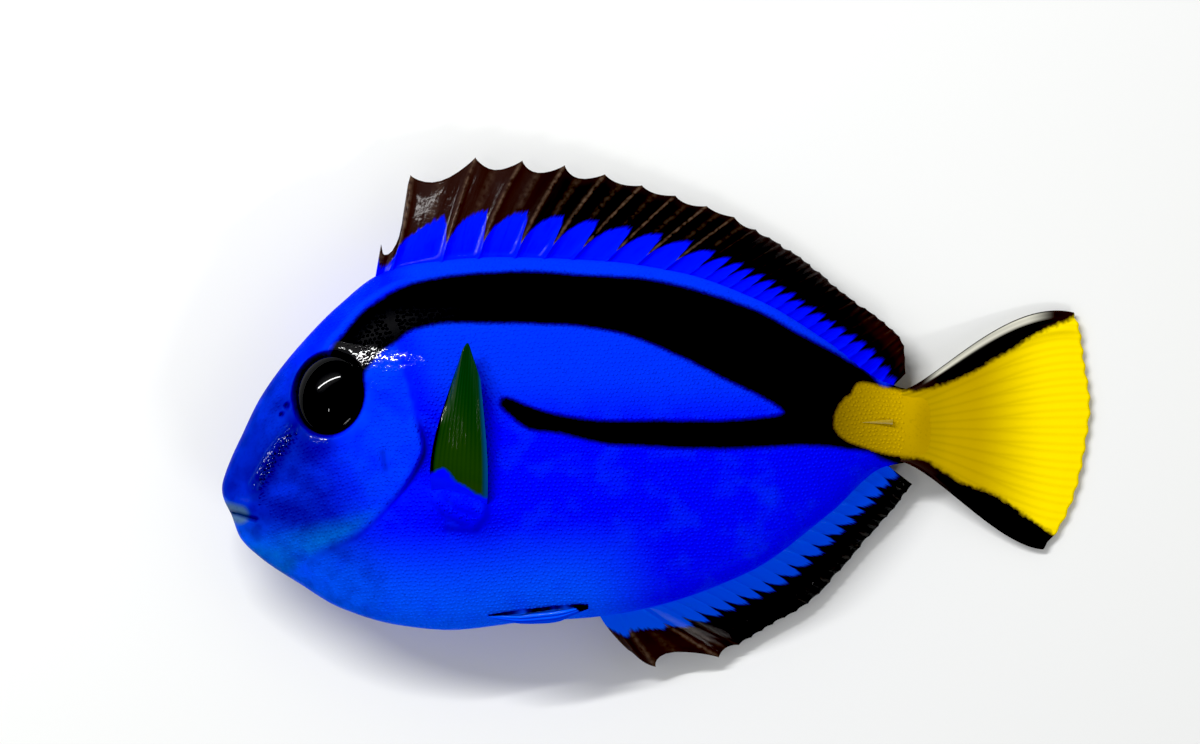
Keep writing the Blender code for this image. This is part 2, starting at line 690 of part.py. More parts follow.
def build_flesh(parts, cutters, skins):
    """Head, jaw, gill covers, trunk and tail stalk, parted by thin cuts."""
    half = GAP / 2
    gill_line, jaw_line = rounded(GILL_LINE), rounded(JAW_LINE)
    sockets = [socket_form(f"socket_{name}", side, cutters) for name, side in SIDES]
    pits = [
        nostril_form(f"nostril_{name}_{i}", place, radius, side, cutters)
        for name, side in SIDES
        for i, (place, radius) in enumerate(NOSTRILS)
    ]
    jaw_outline = [*map(tuple, shifted(jaw_line, half)), (-1.0, BELOW_BELLY)]
    below_jaw = [*map(tuple, shifted(jaw_line, -half)), (-3.0, BELOW_BELLY), (-3.0, -5.5)]
    below_jaw = prism("below_jaw", below_jaw, UNDER, OVER, cutters)
    low, high = GILL_COVER_HEIGHTS
    rear = [tuple(point) for point in shifted(gill_line, half) if low < point[1] < high]
    cover = [*map(tuple, rounded(CHEEK_LINE)), *reversed(rear)]
    cover_spaces = []
    for name, side in SIDES:
        inner = MIDDLE_HEIGHT + side * (GILL_COVER_DEPTH - GAP)
        far = MIDDLE_HEIGHT + side * OVER
        low, high = min(inner, far), max(inner, far)
        cover_spaces.append(prism(f"cover_space_{name}", grown(cover, GAP), low, high, cutters))
    head_cuts = [*sockets, *pits, below_jaw, *cover_spaces]
    flesh_part("head", front_of(gill_line, half), cutters, parts, skins["blue"], head_cuts)
    flesh_part("lower_jaw", jaw_outline, cutters, parts, skins["throat"])
    for name, side in SIDES:
        inner = MIDDLE_HEIGHT + side * GILL_COVER_DEPTH
        far = MIDDLE_HEIGHT - side * OVER
        whole = [(-5, OVER), (TOTAL_LENGTH, OVER), (TOTAL_LENGTH, -OVER), (-5, -OVER)]
        block = prism(f"cover_back_{name}", whole, min(inner, far), max(inner, far), cutters)
        flesh_part(f"gill_cover_{name}", cover, cutters, parts, skins["blue"], [block])
    trunk_front = [tuple(point) for point in shifted(gill_line, -half)]
    trunk_region = [*trunk_front, (STALK_START - half, -OVER), (STALK_START - half, OVER)]
    pocket = [pectoral_pocket(cutters)]
    flesh_part("trunk", trunk_region, cutters, parts, skins["blue"], pocket, TRUNK_MESH)
    stalk = [(STALK_START + half, 8), (STALK_END, 8), (STALK_END, -8), (STALK_START + half, -8)]
    grooves = [make_cutter(tail_spine_form(f"groove_{n}", s, GAP, cutters)) for n, s in SIDES]
    flesh_part("tail_stalk", stalk, cutters, parts, skins["yellow"], grooves, TRUNK_MESH)


def build_fins(parts, skins):
    dorsal = median_fin(
        DORSAL_RAYS, DORSAL_ROOT, DORSAL_TIP_STATION, DORSAL_TIP_HEIGHT, DORSAL_BOW,
        DORSAL_SCALLOP, DORSAL_SAG, back,
    )
    anal = median_fin(
        ANAL_RAYS, ANAL_ROOT, ANAL_TIP_STATION, ANAL_TIP_HEIGHT, ANAL_BOW, ANAL_SCALLOP,
        ANAL_SAG, belly,
    )
    crease = math.radians(30)
    fins = [
        ("dorsal_fin", DORSAL_RAYS, MEDIAN_FIN_MESH, dorsal, skins["black"]),
        ("anal_fin", ANAL_RAYS, MEDIAN_FIN_MESH, anal, skins["black"]),
        ("caudal_fin", TAIL_RAYS, TAIL_FIN_MESH, tail_fin, skins["yellow"]),
        ("pectoral_fin_left", PECTORAL_RAYS, PAIRED_FIN_MESH, left_pectoral, skins["green"]),
        ("pectoral_fin_right", PECTORAL_RAYS, PAIRED_FIN_MESH, right_pectoral, skins["green"]),
        ("pelvic_fin_left", PELVIC_RAYS, PAIRED_FIN_MESH, pelvic_fin(1), skins["blue"]),
        ("pelvic_fin_right", PELVIC_RAYS, PAIRED_FIN_MESH, pelvic_fin(-1), skins["blue"]),
    ]
    for name, rays, (across, rows), place, part_material in fins:
        sheet = fin_sheet((rays - 1) * across, rows, place)
        add_object(sheet, name, parts, shade=crease, part_material=part_material)


def main():
    clear_scene()
    parts = collection("regal_blue_tang")
    cutters = collection("cutters")
    skins = {
        "blue": material("skin_blue", SKIN_BLUE, 0.35),
        "throat": material("throat_blue", THROAT_BLUE, 0.35),
        "black": material("fin_black", FIN_BLACK, 0.3),
        "yellow": material("tail_yellow", TAIL_YELLOW, 0.4),
        "green": material("pectoral_green", PECTORAL_GREEN, 0.35),
        "ivory": material("spine_ivory", SPINE_IVORY, 0.3),
        "eye": material("eye_black", EYE_BLACK, 0.05),
    }
    build_flesh(parts, cutters, skins)
    build_fins(parts, skins)
    for name, side in SIDES:
        eye_form(f"eye_{name}", side, parts).data.materials.append(skins["eye"])
        spine = tail_spine_form(f"tail_spine_{name}", side, 0, parts)
        spine.data.materials.append(skins["ivory"])


main()
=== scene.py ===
"""Dresses the laid regal blue tang: one scaled skin, clear eyes, rayed fins, a pale floor and soft light.

Shapes are worked out upright in millimetres: a station runs from the snout to the tail, a height from
the line through the middle of the tail stalk, and a side from the middle plane to the fish's left.
"""

import math
from functools import partial

import bmesh
import bpy
import numpy as np
from mathutils import Matrix, Vector


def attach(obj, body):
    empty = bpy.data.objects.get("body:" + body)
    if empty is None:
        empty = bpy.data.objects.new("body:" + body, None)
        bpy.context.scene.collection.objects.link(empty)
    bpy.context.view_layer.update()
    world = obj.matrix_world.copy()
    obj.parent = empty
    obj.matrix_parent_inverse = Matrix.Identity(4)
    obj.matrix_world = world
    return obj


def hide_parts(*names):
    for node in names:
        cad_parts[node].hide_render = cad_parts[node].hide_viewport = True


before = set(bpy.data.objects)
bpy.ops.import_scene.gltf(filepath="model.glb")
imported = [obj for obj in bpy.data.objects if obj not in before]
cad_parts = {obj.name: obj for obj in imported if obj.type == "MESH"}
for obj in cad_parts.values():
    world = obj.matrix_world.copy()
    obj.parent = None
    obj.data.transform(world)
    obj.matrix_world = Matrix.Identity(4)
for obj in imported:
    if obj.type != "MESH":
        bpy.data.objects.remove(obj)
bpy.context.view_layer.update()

bl_info = {
    "name": "Regal Blue Tang",
    "version": (1, 0, 0),
    "blender": (4, 5, 0),
    "location": "View3D > Sidebar > Tang",
    "description": "Builds a laid regal blue tang over its solid parts",
    "category": "Add Mesh",
}

MM = 0.001
SIDES = (("left", 1), ("right", -1))

# Driving sizes of the fish, in millimetres
TOTAL_LENGTH = 56.3
HIGHEST = 17.35
LOWEST = -15.7
MIDDLE_HEIGHT = 3.8
BODY_END = 46.0
STALK_END = 44.7
REST = 0.03

# Outline of the body without fins: station, height. Half widths of its section
BACK = [
    (0, -4.1), (0.2, -3.15), (1.16, -0.9), (2.45, 1.74), (5.0, 5.15), (7.6, 7.8), (10.2, 9.75),
    (12.8, 10.45), (17.9, 10.85), (24.4, 10.6), (29.5, 9.85), (34.7, 8.0), (39.2, 5.3),
    (42.8, 2.8), (44.7, 2.3), (BODY_END, 2.4),
]
BELLY = [
    (0, -4.1), (0.2, -4.95), (0.6, -5.75), (1.16, -7.2), (2.45, -8.5), (5.0, -10.2), (7.6, -11.75),
    (11.5, -12.9), (14.7, -13.2), (19.9, -12.65), (23.7, -12.4), (27.6, -11.75), (34.1, -9.4),
    (39.2, -5.7), (42.8, -2.7), (44.7, -2.4), (BODY_END, -2.5),
]
HALF_WIDTH = [
    (0, 0), (0.2, 0.75), (1.16, 1.45), (2.45, 2.05), (5.0, 2.85), (7.6, 3.4), (10.2, 3.8),
    (13.0, 4.05), (16.0, 4.12), (20.0, 4.0), (24.4, 3.65), (29.5, 3.0), (34.7, 2.2),
    (39.2, 1.5), (42.8, 1.05), (44.7, 0.75), (BODY_END, 0.14),
]

# Power of the section's curve, and how much more it has at the back
ROUNDNESS = 1.12
BACK_KEENNESS = 0.12

# Edges and folds of the head
GILL_LINE = [
    (10.3, 12.0), (10.4, 9.0), (11.3, 5.5), (12.1, 2.8), (12.6, 0.6), (13.1, -1.4), (12.6, -2.7),
    (11.7, -4.1), (10.1, -5.95), (8.6, -7.2), (6.4, -8.3), (5.1, -9.2), (4.3, -10.4), (3.9, -12.5),
]
GILL_STEP = (0.34, 1.1)
MOUTH = [(0.2, -5.5), (1.2, -5.75), (2.3, -6.05)]
CHIN_LINE = [(1.2, -7.9), (7.9, -6.1)]
EYE_PLACE = (7.0, 2.05)
EYE_RADII = (2.3, 2.65, 1.3)
EYE_DEPTH = 0.6
EYE_LEAN = math.radians(-9)
EYE_RIM = (2.85, 0.4, 0.04)
SOCKET = (2.1, 2.5, -0.6)
EYE_BLACK = 2.33
NOSTRILS = [((4.3, 1.27), 0.25), ((3.95, 0.7), 0.19)]
NOSTRIL_DEPTH = 0.3
GROOVE = [(4.9, -0.2), (3.6, -2.0), (2.4, -4.0)]
# A hollow before the eye, painted in shade but not sunk: middle, and the distances over which its painted
# shade fades
SHADED_HOLLOW = ((5.9, -1.1), 0.6, 2.0)
RIDGES = [
    (GROOVE, 0.7, -0.22),
    ([(5.6, -4.2), (8.6, -2.6)], 1.9, 0.18),
    ([(8.8, 3.3), (12.2, 3.0)], 1.0, 0.15),
    ([(14.3, -5.1), (16.6, -5.9)], 1.1, 0.45),
    ([(0.5, -4.9), (1.7, -5.2)], 0.45, 0.22),
    ([(0.9, -6.3), (2.0, -6.5)], 0.45, 0.2),
]
# Creases: line, reach, how far they sink, and how much painted shade darkens them
CREASES = [
    ([(10.5, -1.7), (10.7, -2.8)], 0.2, -0.08, 0.4),
    ([(13.6, -4.9), (14.6, -5.9), (15.9, -6.4)], 0.16, -0.08, 0.3),
    ([(14.2, -4.4), (15.3, -5.3), (16.5, -5.7)], 0.16, -0.06, 0.3),
    ([(17.2, -4.7), (17.15, -5.8), (16.4, -6.7), (14.6, -6.6)], 0.3, -0.05, 0.4),
    (MOUTH, 0.14, -0.3, 0.75),
]

# Patches of uneven water film on the head that break the light into specks: line and reach
WET_PATCHES = [
    ([(7.6, 4.7), (9.5, 4.3), (11.8, 4.0)], 0.75),
    ([(12.5, 4.3), (13.0, 4.0)], 0.3),
    ([(9.9, 2.6), (10.3, 2.4)], 0.25),
    ([(4.6, -0.2), (3.3, -1.8), (2.2, -3.8)], 0.45),
    ([(5.9, -0.8), (6.9, -0.9)], 0.2),
]

# The tail sags from here until its fin lies on the floor
SAG_START = 33.0
SAG_END = 55.0
TAIL_HEIGHT = 0.3

# Dark band from the eye along the back, with a lower arm, and the yellow of the tail
DARK_OUTLINE = [
    (4.9, 1.2), (5.1, 3.23), (6.06, 3.94), (6.84, 4.52), (7.29, 5.35), (7.87, 5.94), (8.4, 6.6),
    (9.55, 7.74), (11.48, 8.9), (13.42, 9.48), (16.0, 9.81), (19.87, 10.0), (24.39, 9.68),
    (26.97, 9.55), (29.55, 9.03), (32.13, 8.32), (34.71, 7.35), (37.29, 5.94), (39.23, 4.9),
    (40.52, 4.19), (41.81, 3.42), (42.77, 2.52), (44.0, 3.0), (BODY_END + 1, 3.0),
    (BODY_END + 1, -3.2), (43.1, -2.45), (41.81, -1.81), (40.52, -1.61), (37.29, -1.35),
    (32.13, -1.55), (26.97, -1.35), (24.39, -1.16), (21.81, -0.58), (19.87, -0.26),
    (18.6, 0.6), (18.0, 1.2), (17.95, 1.65), (18.4, 1.92), (19.87, 1.35), (21.81, 0.77),
    (24.39, 0.39), (26.97, 0.39), (32.13, 0.39), (34.71, 0.58), (36.1, 0.87), (34.71, 1.81),
    (32.13, 3.03), (29.55, 4.32), (26.97, 5.42), (24.39, 6.13), (21.81, 6.39), (17.94, 6.52),
    (14.71, 6.52), (13.42, 6.32), (12.13, 5.94), (11.48, 5.35), (10.52, 4.71), (9.35, 3.4),
    (9.2, 2.0), (7.0, 0.5),
]
YELLOW_OUTLINE = [
    (39.42, 0.65), (39.75, 1.3), (40.19, 1.81), (40.52, 2.0), (40.8, 2.55), (41.2, 2.75),
    (41.81, 2.71), (43.1, 2.39), (44.77, 2.19), (46.3, 2.52), (47.6, 2.97), (48.97, 3.61),
    (50.0, 4.26), (51.2, 4.9), (52.3, 5.68), (53.5, 6.26), (54.9, 6.77), (58.0, 7.8),
    (58.0, -9.6), (54.0, -7.2), (52.9, -6.45), (51.5, -5.5), (50.0, -4.5), (47.9, -3.74),
    (46.7, -2.97), (45.3, -2.19), (43.9, -2.06), (42.5, -1.8), (41.5, -1.45), (40.19, -0.97),
    (39.42, -0.19),
]

# Dorsal fin: nine spines, then soft rays. Each table gives ray number and a size
DORSAL = {
    "first": -1,
    "rays": 28,
    "spines": 8.5,
    "rust": 1.0,
    "bend": 1.3,
    "root": [
        (-1, 9.8), (0, 10.75), (1, 14.05), (2, 16.4), (3, 18.7), (4, 20.5), (5, 22.2), (6, 24.3), (7, 26.2),
        (8, 28.0), (9, 29.5), (13, 32.9), (18, 36.6), (23, 40.1), (27, 43.0),
    ],
    "tip_station": [
        (-1, 10.25), (-0.9, 10.4), (-0.6, 10.75), (-0.4, 11.15), (-0.2, 11.45), (-0.07, 11.7),
        (0, 12.1), (1, 16.3), (2, 19.35), (3, 22.1), (5, 27.1), (8, 33.1), (9, 34.5), (13, 37.4),
        (18, 40.3), (23, 43.35), (25, 44.1), (27, 44.2),
    ],
    "tip_height": [
        (-1, 11.7), (-0.9, 11.0), (-0.6, 11.05), (-0.4, 11.6), (-0.2, 12.4), (-0.07, 14.1),
        (0, 16.2), (1, HIGHEST), (2, 17.15), (3, 16.85), (5, 15.55), (8, 13.5), (9, 12.7),
        (13, 10.9), (18, 8.5), (23, 6.2), (25, 5.15), (27, 3.35),
    ],
    "bow": [(-1, 0), (-0.3, 0.1), (0, 0.25), (1, -0.1), (2, -0.28), (4, -0.14), (9, -0.06), (27, 0)],
    "scallop": [(-1, 0), (0, 1.3), (1, 0.8), (3, 0.7), (4, 0.35), (8, 0.22), (9, 0.12), (27, 0.06)],
    "sag": [(-1, 0.4), (-0.3, 0.8), (0, 2.0), (3, 2.4), (9, 2.9), (18, 2.6), (27, 0.9)],
    "lobe_top": [(-1, 0.6), (0, 0.5), (1, 0.56), (3, 0.56), (8, 0.54), (13, 0.5), (20, 0.48), (27, 0.5)],
    "lobe_foot": [(-1, 0.6), (0, 0.3), (1, 0.22), (3, 0.22), (8, 0.26), (27, 0.3)],
}
ANAL = {
    "first": 0,
    "rays": 22,
    "spines": 2.5,
    "rust": 0.0,
    "bend": 1.05,
    "root": [(0, 24.1), (1, 25.4), (2, 26.6), (3, 27.6), (12, 35.9), (21, 42.5)],
    "tip_station": [
        (0, 26.2), (1, 28.0), (2, 32.1), (3, 33.4), (6, 35.6), (9, 37.9), (12, 40.0), (15, 41.9),
        (18, 43.5), (21, 44.65),
    ],
    "tip_height": [
        (0, -14.6), (1, LOWEST), (2, -15.1), (3, -14.3), (6, -12.95), (9, -11.6), (12, -9.45),
        (15, -7.2), (18, -5.4), (21, -3.85),
    ],
    "bow": [(0, -0.2), (3, -0.1), (21, 0)],
    "scallop": [(0, 0.15), (1, 1.1), (2, 0.4), (3, 0.12), (21, 0.06)],
    "sag": [(0, 2.6), (3, 3.1), (12, 3.0), (21, 1.6)],
    "lobe_top": [(0, 0.55), (1, 0.5), (3, 0.56), (12, 0.58), (21, 0.6)],
    "lobe_foot": [(0, 0.4), (3, 0.38), (12, 0.36), (21, 0.4)],
}
ROOT_SUNK = 0.55
ROOT_REACH = 0.13
MEDIAN_ROOT_HALF = 0.42

# Tail fin, from its lowest ray to its highest
TAIL_RAYS = 16
TAIL_ROOT_STATION = STALK_END - 0.9
TAIL_ROOT_HEIGHTS = (-2.35, 2.25)
TAIL_TIP = [
    (0, 53.2, -8.1), (0.1, 54.4, -6.5), (0.25, 55.4, -4.1), (0.42, 56.0, -1.2),
    (0.56, TOTAL_LENGTH - 0.02, 1.2), (0.75, 55.9, 4.1), (0.9, 55.6, 6.2), (1, 55.2, 7.3),
]
TAIL_LOW_PULL = ((2.4, -0.55), (3.0, 0.2))
TAIL_MIDDLE_PULL = ((3.2, 0), (4.0, 0))
TAIL_HIGH_PULL = ((2.2, 0.3), (4.4, 1.1))
TAIL_SCALLOP = 0.12
TAIL_ROOT_HALF = 0.45

# Breast fins. The left one stands off the flank, the right one lies under the body on the floor
PECTORAL_ROOT = ((13.9, -5.0), (17.0, -6.0))
PECTORAL_TIPS = [
    (0, 15.25, 3.6), (0.3, 15.7, 4.7), (0.5, 15.97, 5.0), (0.7, 16.25, 4.3), (1, 16.75, 2.8),
]
PECTORAL_BELLY = (-0.75, 0.3)
PECTORAL_RAYS = 14
PECTORAL_LIFT = 0.75
PECTORAL_STAND = 0.42
PECTORAL_RIGHT_SHIFT = 0.7
PECTORAL_SLEEVE = [
    (12.0, -3.6), (13.6, -2.97), (14.26, -2.65), (14.7, -2.84), (15.1, -3.42), (15.87, -3.87),
    (16.84, -4.45), (19.0, -5.2),
]
POCKET_TOP = 0.62
POCKET_MARGIN = 0.35

# Belly fins, folded back along the belly: station, height, depth
PELVIC_LINE = [
    (17.2, -12.2, 0.1), (18.8, -12.15, 0.45), (21.2, -12.0, 0.75), (22.6, -11.75, 0.5),
    (23.6, -11.55, 0.12),
]
PELVIC_RAYS = 6

# Folding spine on each side of the tail stalk
TAIL_SPINE_ROOT = (43.3, 0.2)
TAIL_SPINE_LENGTH = 2.1
TAIL_SPINE_RADII = (0.2, 0.03)
TAIL_SPINE_LEAN = 0.12

# Mesh fineness: facets around and along the body, then along each fin's root and out to its edge
SKIN_MESH = (288, 320)
LEFT_CROWDING = 0.35
SNOUT_CROWDING = 0.7
EYE_MESH = (96, 64)
MEDIAN_COLUMNS = 12
MEDIAN_ROWS = 40
TAIL_FIN_MESH = (14, 64)
PECTORAL_MESH = (8, 44)
PELVIC_MESH = (8, 40)
RAY_CROWDING = 0.7
LINE_STEPS = 3

# Scales: cone facets, how far they reach before the snout and the tail, and a seeded unevenness
SCALE_SIDES = 8
SCALE_STATIONS = (2.6, 44.3)
SCALE_EDGE = 0.3
SCALE_UNEVEN = 0.25
SCALE_SEED = 11
BAKE_PATCH = 0.003

# Kinds of nodes, and sockets of the Mix node for colours
NOISE = "ShaderNodeTexNoise"
MATH = "ShaderNodeMath"
RANGE = "ShaderNodeMapRange"
BUMP = "ShaderNodeBump"
SHARE, UNDER, ABOVE, MIXED = 0, 6, 7, 2

# Grain of fin skin, 0.3 mm across, and how high it stands
FIN_GRAIN = 3000.0
FIN_RELIEF = 0.02 * MM

# Lamps: way to each from the fish, its sides in metres, and the way of its long side
LAMP_DISTANCE = 0.3
LAMPS = {
    "tube": ((-0.46, 0.58, 0.67), (0.225, 0.009), (0.97, 0.23, 0)),
    "low_tube": ((0.45, -0.72, 0.53), (0.1, 0.004), (0.8, 0.6, 0)),
    "spot": ((-0.46, -0.1, 0.88), (0.01, 0.025), (1, 0, 0)),
}


def hex_colour(code):
    """An sRGB hex colour as linear red, green, blue and alpha."""
    channels = [int(code[i : i + 2], 16) / 255 for i in (1, 3, 5)]
    linear = [c / 12.92 if c <= 0.04045 else ((c + 0.055) / 1.055) ** 2.4 for c in channels]
    return (*linear, 1.0)


def colour_property(name, description, code):
    return bpy.props.FloatVectorProperty(
        name=name, description=description, subtype="COLOR", size=4, min=0, max=1,
        default=hex_colour(code),
    )


def power_property(name, description, watts):
    return bpy.props.FloatProperty(name=name, description=description, unit="POWER", default=watts)


def length_property(name, description, millimetres):
    return bpy.props.FloatProperty(
        name=name, description=description, unit="LENGTH", subtype="DISTANCE", precision=6,
        default=millimetres * MM,
    )


class TANG_PG_body(bpy.types.PropertyGroup):
    scale_pitch: length_property("Scale pitch", "Distance between rows of scales", 0.28)
    scale_rise: length_property("Scale rise", "How far a scale's rear stands up", 0.009)
    blue: colour_property("Blue", "Flank", "#001af8")
    high_blue: colour_property("High blue", "Upper flank and the light clouds", "#0036f0")
    head_blue: colour_property("Head blue", "Cheek and gill cover", "#0038f6")
    # Painted shade: the snout and forehead are painted darker where the head rounds away from the light
    face_blue: colour_property("Face blue", "Snout and forehead", "#0022aa")
    # The chin's own lighter cyan, with its blue dimmed as painted shade
    chin_blue: colour_property("Chin blue", "Chin", "#0660c4")
    belly_blue: colour_property("Belly blue", "Throat and belly", "#0058ff")
    lip_grey: colour_property("Lip grey", "Lips", "#45648c")
    # Painted shade in the gill slit, creases, mouth, groove, hollow and nostril pits; the same dark blue
    # also gives the real mottle and grain
    fold_blue: colour_property("Fold blue", "Folds and the gill slit", "#000a66")
    band_black: colour_property("Band black", "The dark band", "#010103")
    gold: colour_property("Gold", "Wedge on the tail stalk", "#c9a502")
    olive: colour_property("Olive", "Front of the wedge", "#7d650a")


class TANG_PG_fins(bpy.types.PropertyGroup):
    membrane: length_property("Membrane", "Half the thickness between rays", 0.07)
    ray: length_property("Ray", "Half the thickness on a soft ray", 0.16)
    spine: length_property("Spine", "Half the thickness on a spine", 0.26)
    blue: colour_property("Fin blue", "Fleshy foot of the dorsal and anal fins", "#0018f4")
    deep_blue: colour_property("Deep fin blue", "Fibres in the fleshy foot", "#0006c8")
    black: colour_property("Fin black", "Membrane", "#030202")
    brown: colour_property("Fin brown", "Membrane at the first spines and the edge", "#241310")
    streak: colour_property("Ray brown", "Rays and spines", "#5e4a3c")
    # Painted light: the rear is painted brighter, as light shining through the thin membrane
    yellow: colour_property("Tail yellow", "Rear of the tail fin", "#fde000")
    tail_gold: colour_property("Tail gold", "Foot of the tail fin", "#c1a101")
    tail_streak: colour_property("Tail streak", "Rays of the tail fin", "#8a7410")
    # Painted light: the clear strip is painted pale, as the lit floor seen through it
    clear: colour_property("Clear", "Clear strip at the top of the tail fin", "#d6d4c4")
    leaf_green: colour_property("Leaf green", "Top of the breast fin", "#143218")
    leaf_olive: colour_property("Leaf olive", "Foot of the breast fin", "#213a14")
    leaf_streak: colour_property("Leaf streak", "Rays of the breast fin", "#101c04")
    leaf_rim: colour_property("Leaf rim", "Edge of the breast fin", "#00407a")


class TANG_PG_stage(bpy.types.PropertyGroup):
    floor: colour_property("Floor", "Matt pale floor", "#ebecea")
    camera_x: length_property("Camera X", "Camera's place along the fish", -3.774)
    camera_y: length_property("Camera Y", "Camera's place across the fish", 2.613)
    camera_z: length_property("Camera height", "Camera's height over the floor", 433.7)
    lens: bpy.props.FloatProperty(
        name="Lens", description="Focal length in millimetres", default=200
    )
    dome: bpy.props.FloatProperty(
        name="Dome", description="Brightness of the soft dome", default=0.78
    )
    black_point: bpy.props.FloatProperty(
        name="Black point", description="Light shown as full black", default=0.012, precision=3
    )
    tube_power: power_property("Tube", "Power of the tube lamp", 0.94)
    low_tube_power: power_property("Low tube", "Power of the tube lamp on the belly's side", 0.16)
    spot_power: power_property("Spot", "Power of the small lamp over the head", 0.03)


def smooth_line(points):
    """A function that runs smoothly through (place, value) points and never past them."""
    places, values = np.array(points, float).T
    steps = np.diff(places)
    slopes = np.diff(values) / steps
    tangents = np.concatenate([slopes[:1], np.zeros(len(slopes) - 1), slopes[-1:]])
    for i in range(1, len(slopes)):
        before, after = slopes[i - 1], slopes[i]
        if before * after > 0:
            tangents[i] = 2 * before * after / (before + after)

    def value(place):
        place = np.clip(place, places[0], places[-1])
        i = np.clip(np.searchsorted(places, place, side="right") - 1, 0, len(steps) - 1)
        t = (place - places[i]) / steps[i]
        rise = (3 - 2 * t) * t * t
        start_pull = t * (1 - t) ** 2 * steps[i] * tangents[i]
        end_pull = t * t * (t - 1) * steps[i] * tangents[i + 1]
        return values[i] * (1 - rise) + values[i + 1] * rise + start_pull + end_pull

    return value


def by_root(points):
    """A smooth line over the square root of the station, which rounds the snout."""
    line = smooth_line([(math.sqrt(station), value) for station, value in points])
    return lambda station: line(np.sqrt(np.maximum(station, 0)))


back = by_root(BACK)
belly = by_root(BELLY)
half_width = by_root(HALF_WIDTH)


def smooth_step(value, low, high):
    t = np.clip((value - low) / (high - low), 0, 1)
    return t * t * (3 - 2 * t)


def distance_to(points, station, height):
    """Distance from places to a line of (station, height) points."""
    nearest = np.full(np.shape(station), np.inf)
    for (s0, h0), (s1, h1) in zip(points, points[1:]):
        ds, dh = s1 - s0, h1 - h0
        t = np.clip(((station - s0) * ds + (height - h0) * dh) / (ds * ds + dh * dh), 0, 1)
        nearest = np.minimum(nearest, np.hypot(station - s0 - t * ds, height - h0 - t * dh))
    return nearest


def rounded(points):
    """More points on a smooth curve through a line of points."""
    points = np.array(points, float)
    ends = np.vstack([2 * points[0] - points[1], points, 2 * points[-1] - points[-2]])
    found = []
    for a, b, c, d in zip(ends, ends[1:], ends[2:], ends[3:]):
        for t in np.arange(LINE_STEPS) / LINE_STEPS:
            pull = (c - a) * t + (2 * a - 5 * b + 4 * c - d) * t**2 + (3 * b - a - 3 * c + d) * t**3
            found.append(b + pull / 2)
    return np.array([*found, points[-1]])


def inside_by(points, station, height):
    """Distance to a closed outline, positive inside it and negative outside."""
    ring = rounded([*points, points[0]])
    inside = np.zeros(np.shape(station), bool)
    for (s0, h0), (s1, h1) in zip(ring, ring[1:]):
        crosses = (h0 > height) != (h1 > height)
        rise = h1 - h0 if h1 != h0 else 1.0
        inside ^= crosses & (station < s0 + (height - h0) / rise * (s1 - s0))
    return np.where(inside, 1, -1) * distance_to(ring, station, height)


gill_line = rounded(GILL_LINE)


def behind_gill(station, height):
    """Distance behind the gill cover's edge, negative in front of it."""
    edge = np.interp(-height, -gill_line[:, 1], gill_line[:, 0])
    return np.sign(station - edge) * distance_to(gill_line, station, height)


def from_eye(station, height):
    """Distance from the eye's middle, as if its outline were round."""
    squash = EYE_RADII[0] / EYE_RADII[1]
    ahead, above = station - EYE_PLACE[0], height - EYE_PLACE[1]
    wide = ahead * math.cos(EYE_LEAN) + above * math.sin(EYE_LEAN)
    tall = above * math.cos(EYE_LEAN) - ahead * math.sin(EYE_LEAN)
    return np.hypot(wide, tall * squash)


def relief(station, height):
    """How far the ridges and hollows of the skin stand out to the side."""
    out = np.zeros(np.shape(station))
    for points, reach, rise, *shade in RIDGES + CREASES:
        out = out + rise * np.exp(-((distance_to(points, station, height) / reach) ** 2))
    radius, reach, rise = EYE_RIM
    away = from_eye(station, height)
    out = out + rise * np.exp(-(((away - radius) / reach) ** 2))
    inner, outer, depth = SOCKET
    out = out + depth * (1 - smooth_step(away, inner, outer))
    for (s, h), radius in NOSTRILS:
        pit = np.clip(1 - (np.hypot(station - s, height - h) / radius) ** 2, 0, 1)
        out = out - NOSTRIL_DEPTH * pit
    drop, reach = GILL_STEP
    behind = behind_gill(station, height)
    share = (0.3 + 0.7 * smooth_step(height, -6.0, -3.0)) * smooth_step(height, -9.5, -7.0)
    share = share * (1 - smooth_step(height, -1.0, 1.5))
    step = smooth_step(behind, -0.1, 0.12) * np.exp(-np.maximum(behind, 0) / reach)
    lip = np.exp(-(((behind + 0.35) / 0.4) ** 2))
    return out - share * (drop * step - 0.08 * lip)


def section(station):
    """Middle height, half height and half width of the body at a station."""
    top, bottom = back(station), belly(station)
    return (top + bottom) / 2, (top - bottom) / 2, half_width(station)


def fullness(share):
    """How round the section is: its back is keener than its belly."""
    return ROUNDNESS + BACK_KEENNESS * share


def plain_flank(station, height):
    """How far the flank stands from the middle plane, without its ridges and hollows."""
    middle, half, width = section(station)
    share = np.clip((height - middle) / half, -1, 1)
    return width * (1 - share**2) ** (fullness(share) / 2)


def flank(station, height):
    """How far the flank stands from the middle plane, with its ridges and hollows."""
    side = plain_flank(station, height)
    return side + relief(station, height) * np.minimum(side / half_width(station) * 2, 1)


def facing(surface, station, height):
    """The way that the flank faces at places, as unit vectors of station, height and side."""
    step = 0.05
    ahead, behind = surface(station + step, height), surface(station - step, height)
    above, below = surface(station, height + step), surface(station, height - step)
    way = np.stack([behind - ahead, below - above, np.full(np.shape(ahead), 2 * step)], -1)
    return way / np.linalg.norm(way, axis=-1)[..., None]


def stand_off(surface, station, height, distance):
    """Places at a distance from the flank: station, height and side."""
    place = np.stack(np.broadcast_arrays(station, height, surface(station, height)), -1)
    moved = place + facing(surface, station, height) * np.asarray(distance)[..., None]
    return moved[..., 0], moved[..., 1], moved[..., 2]


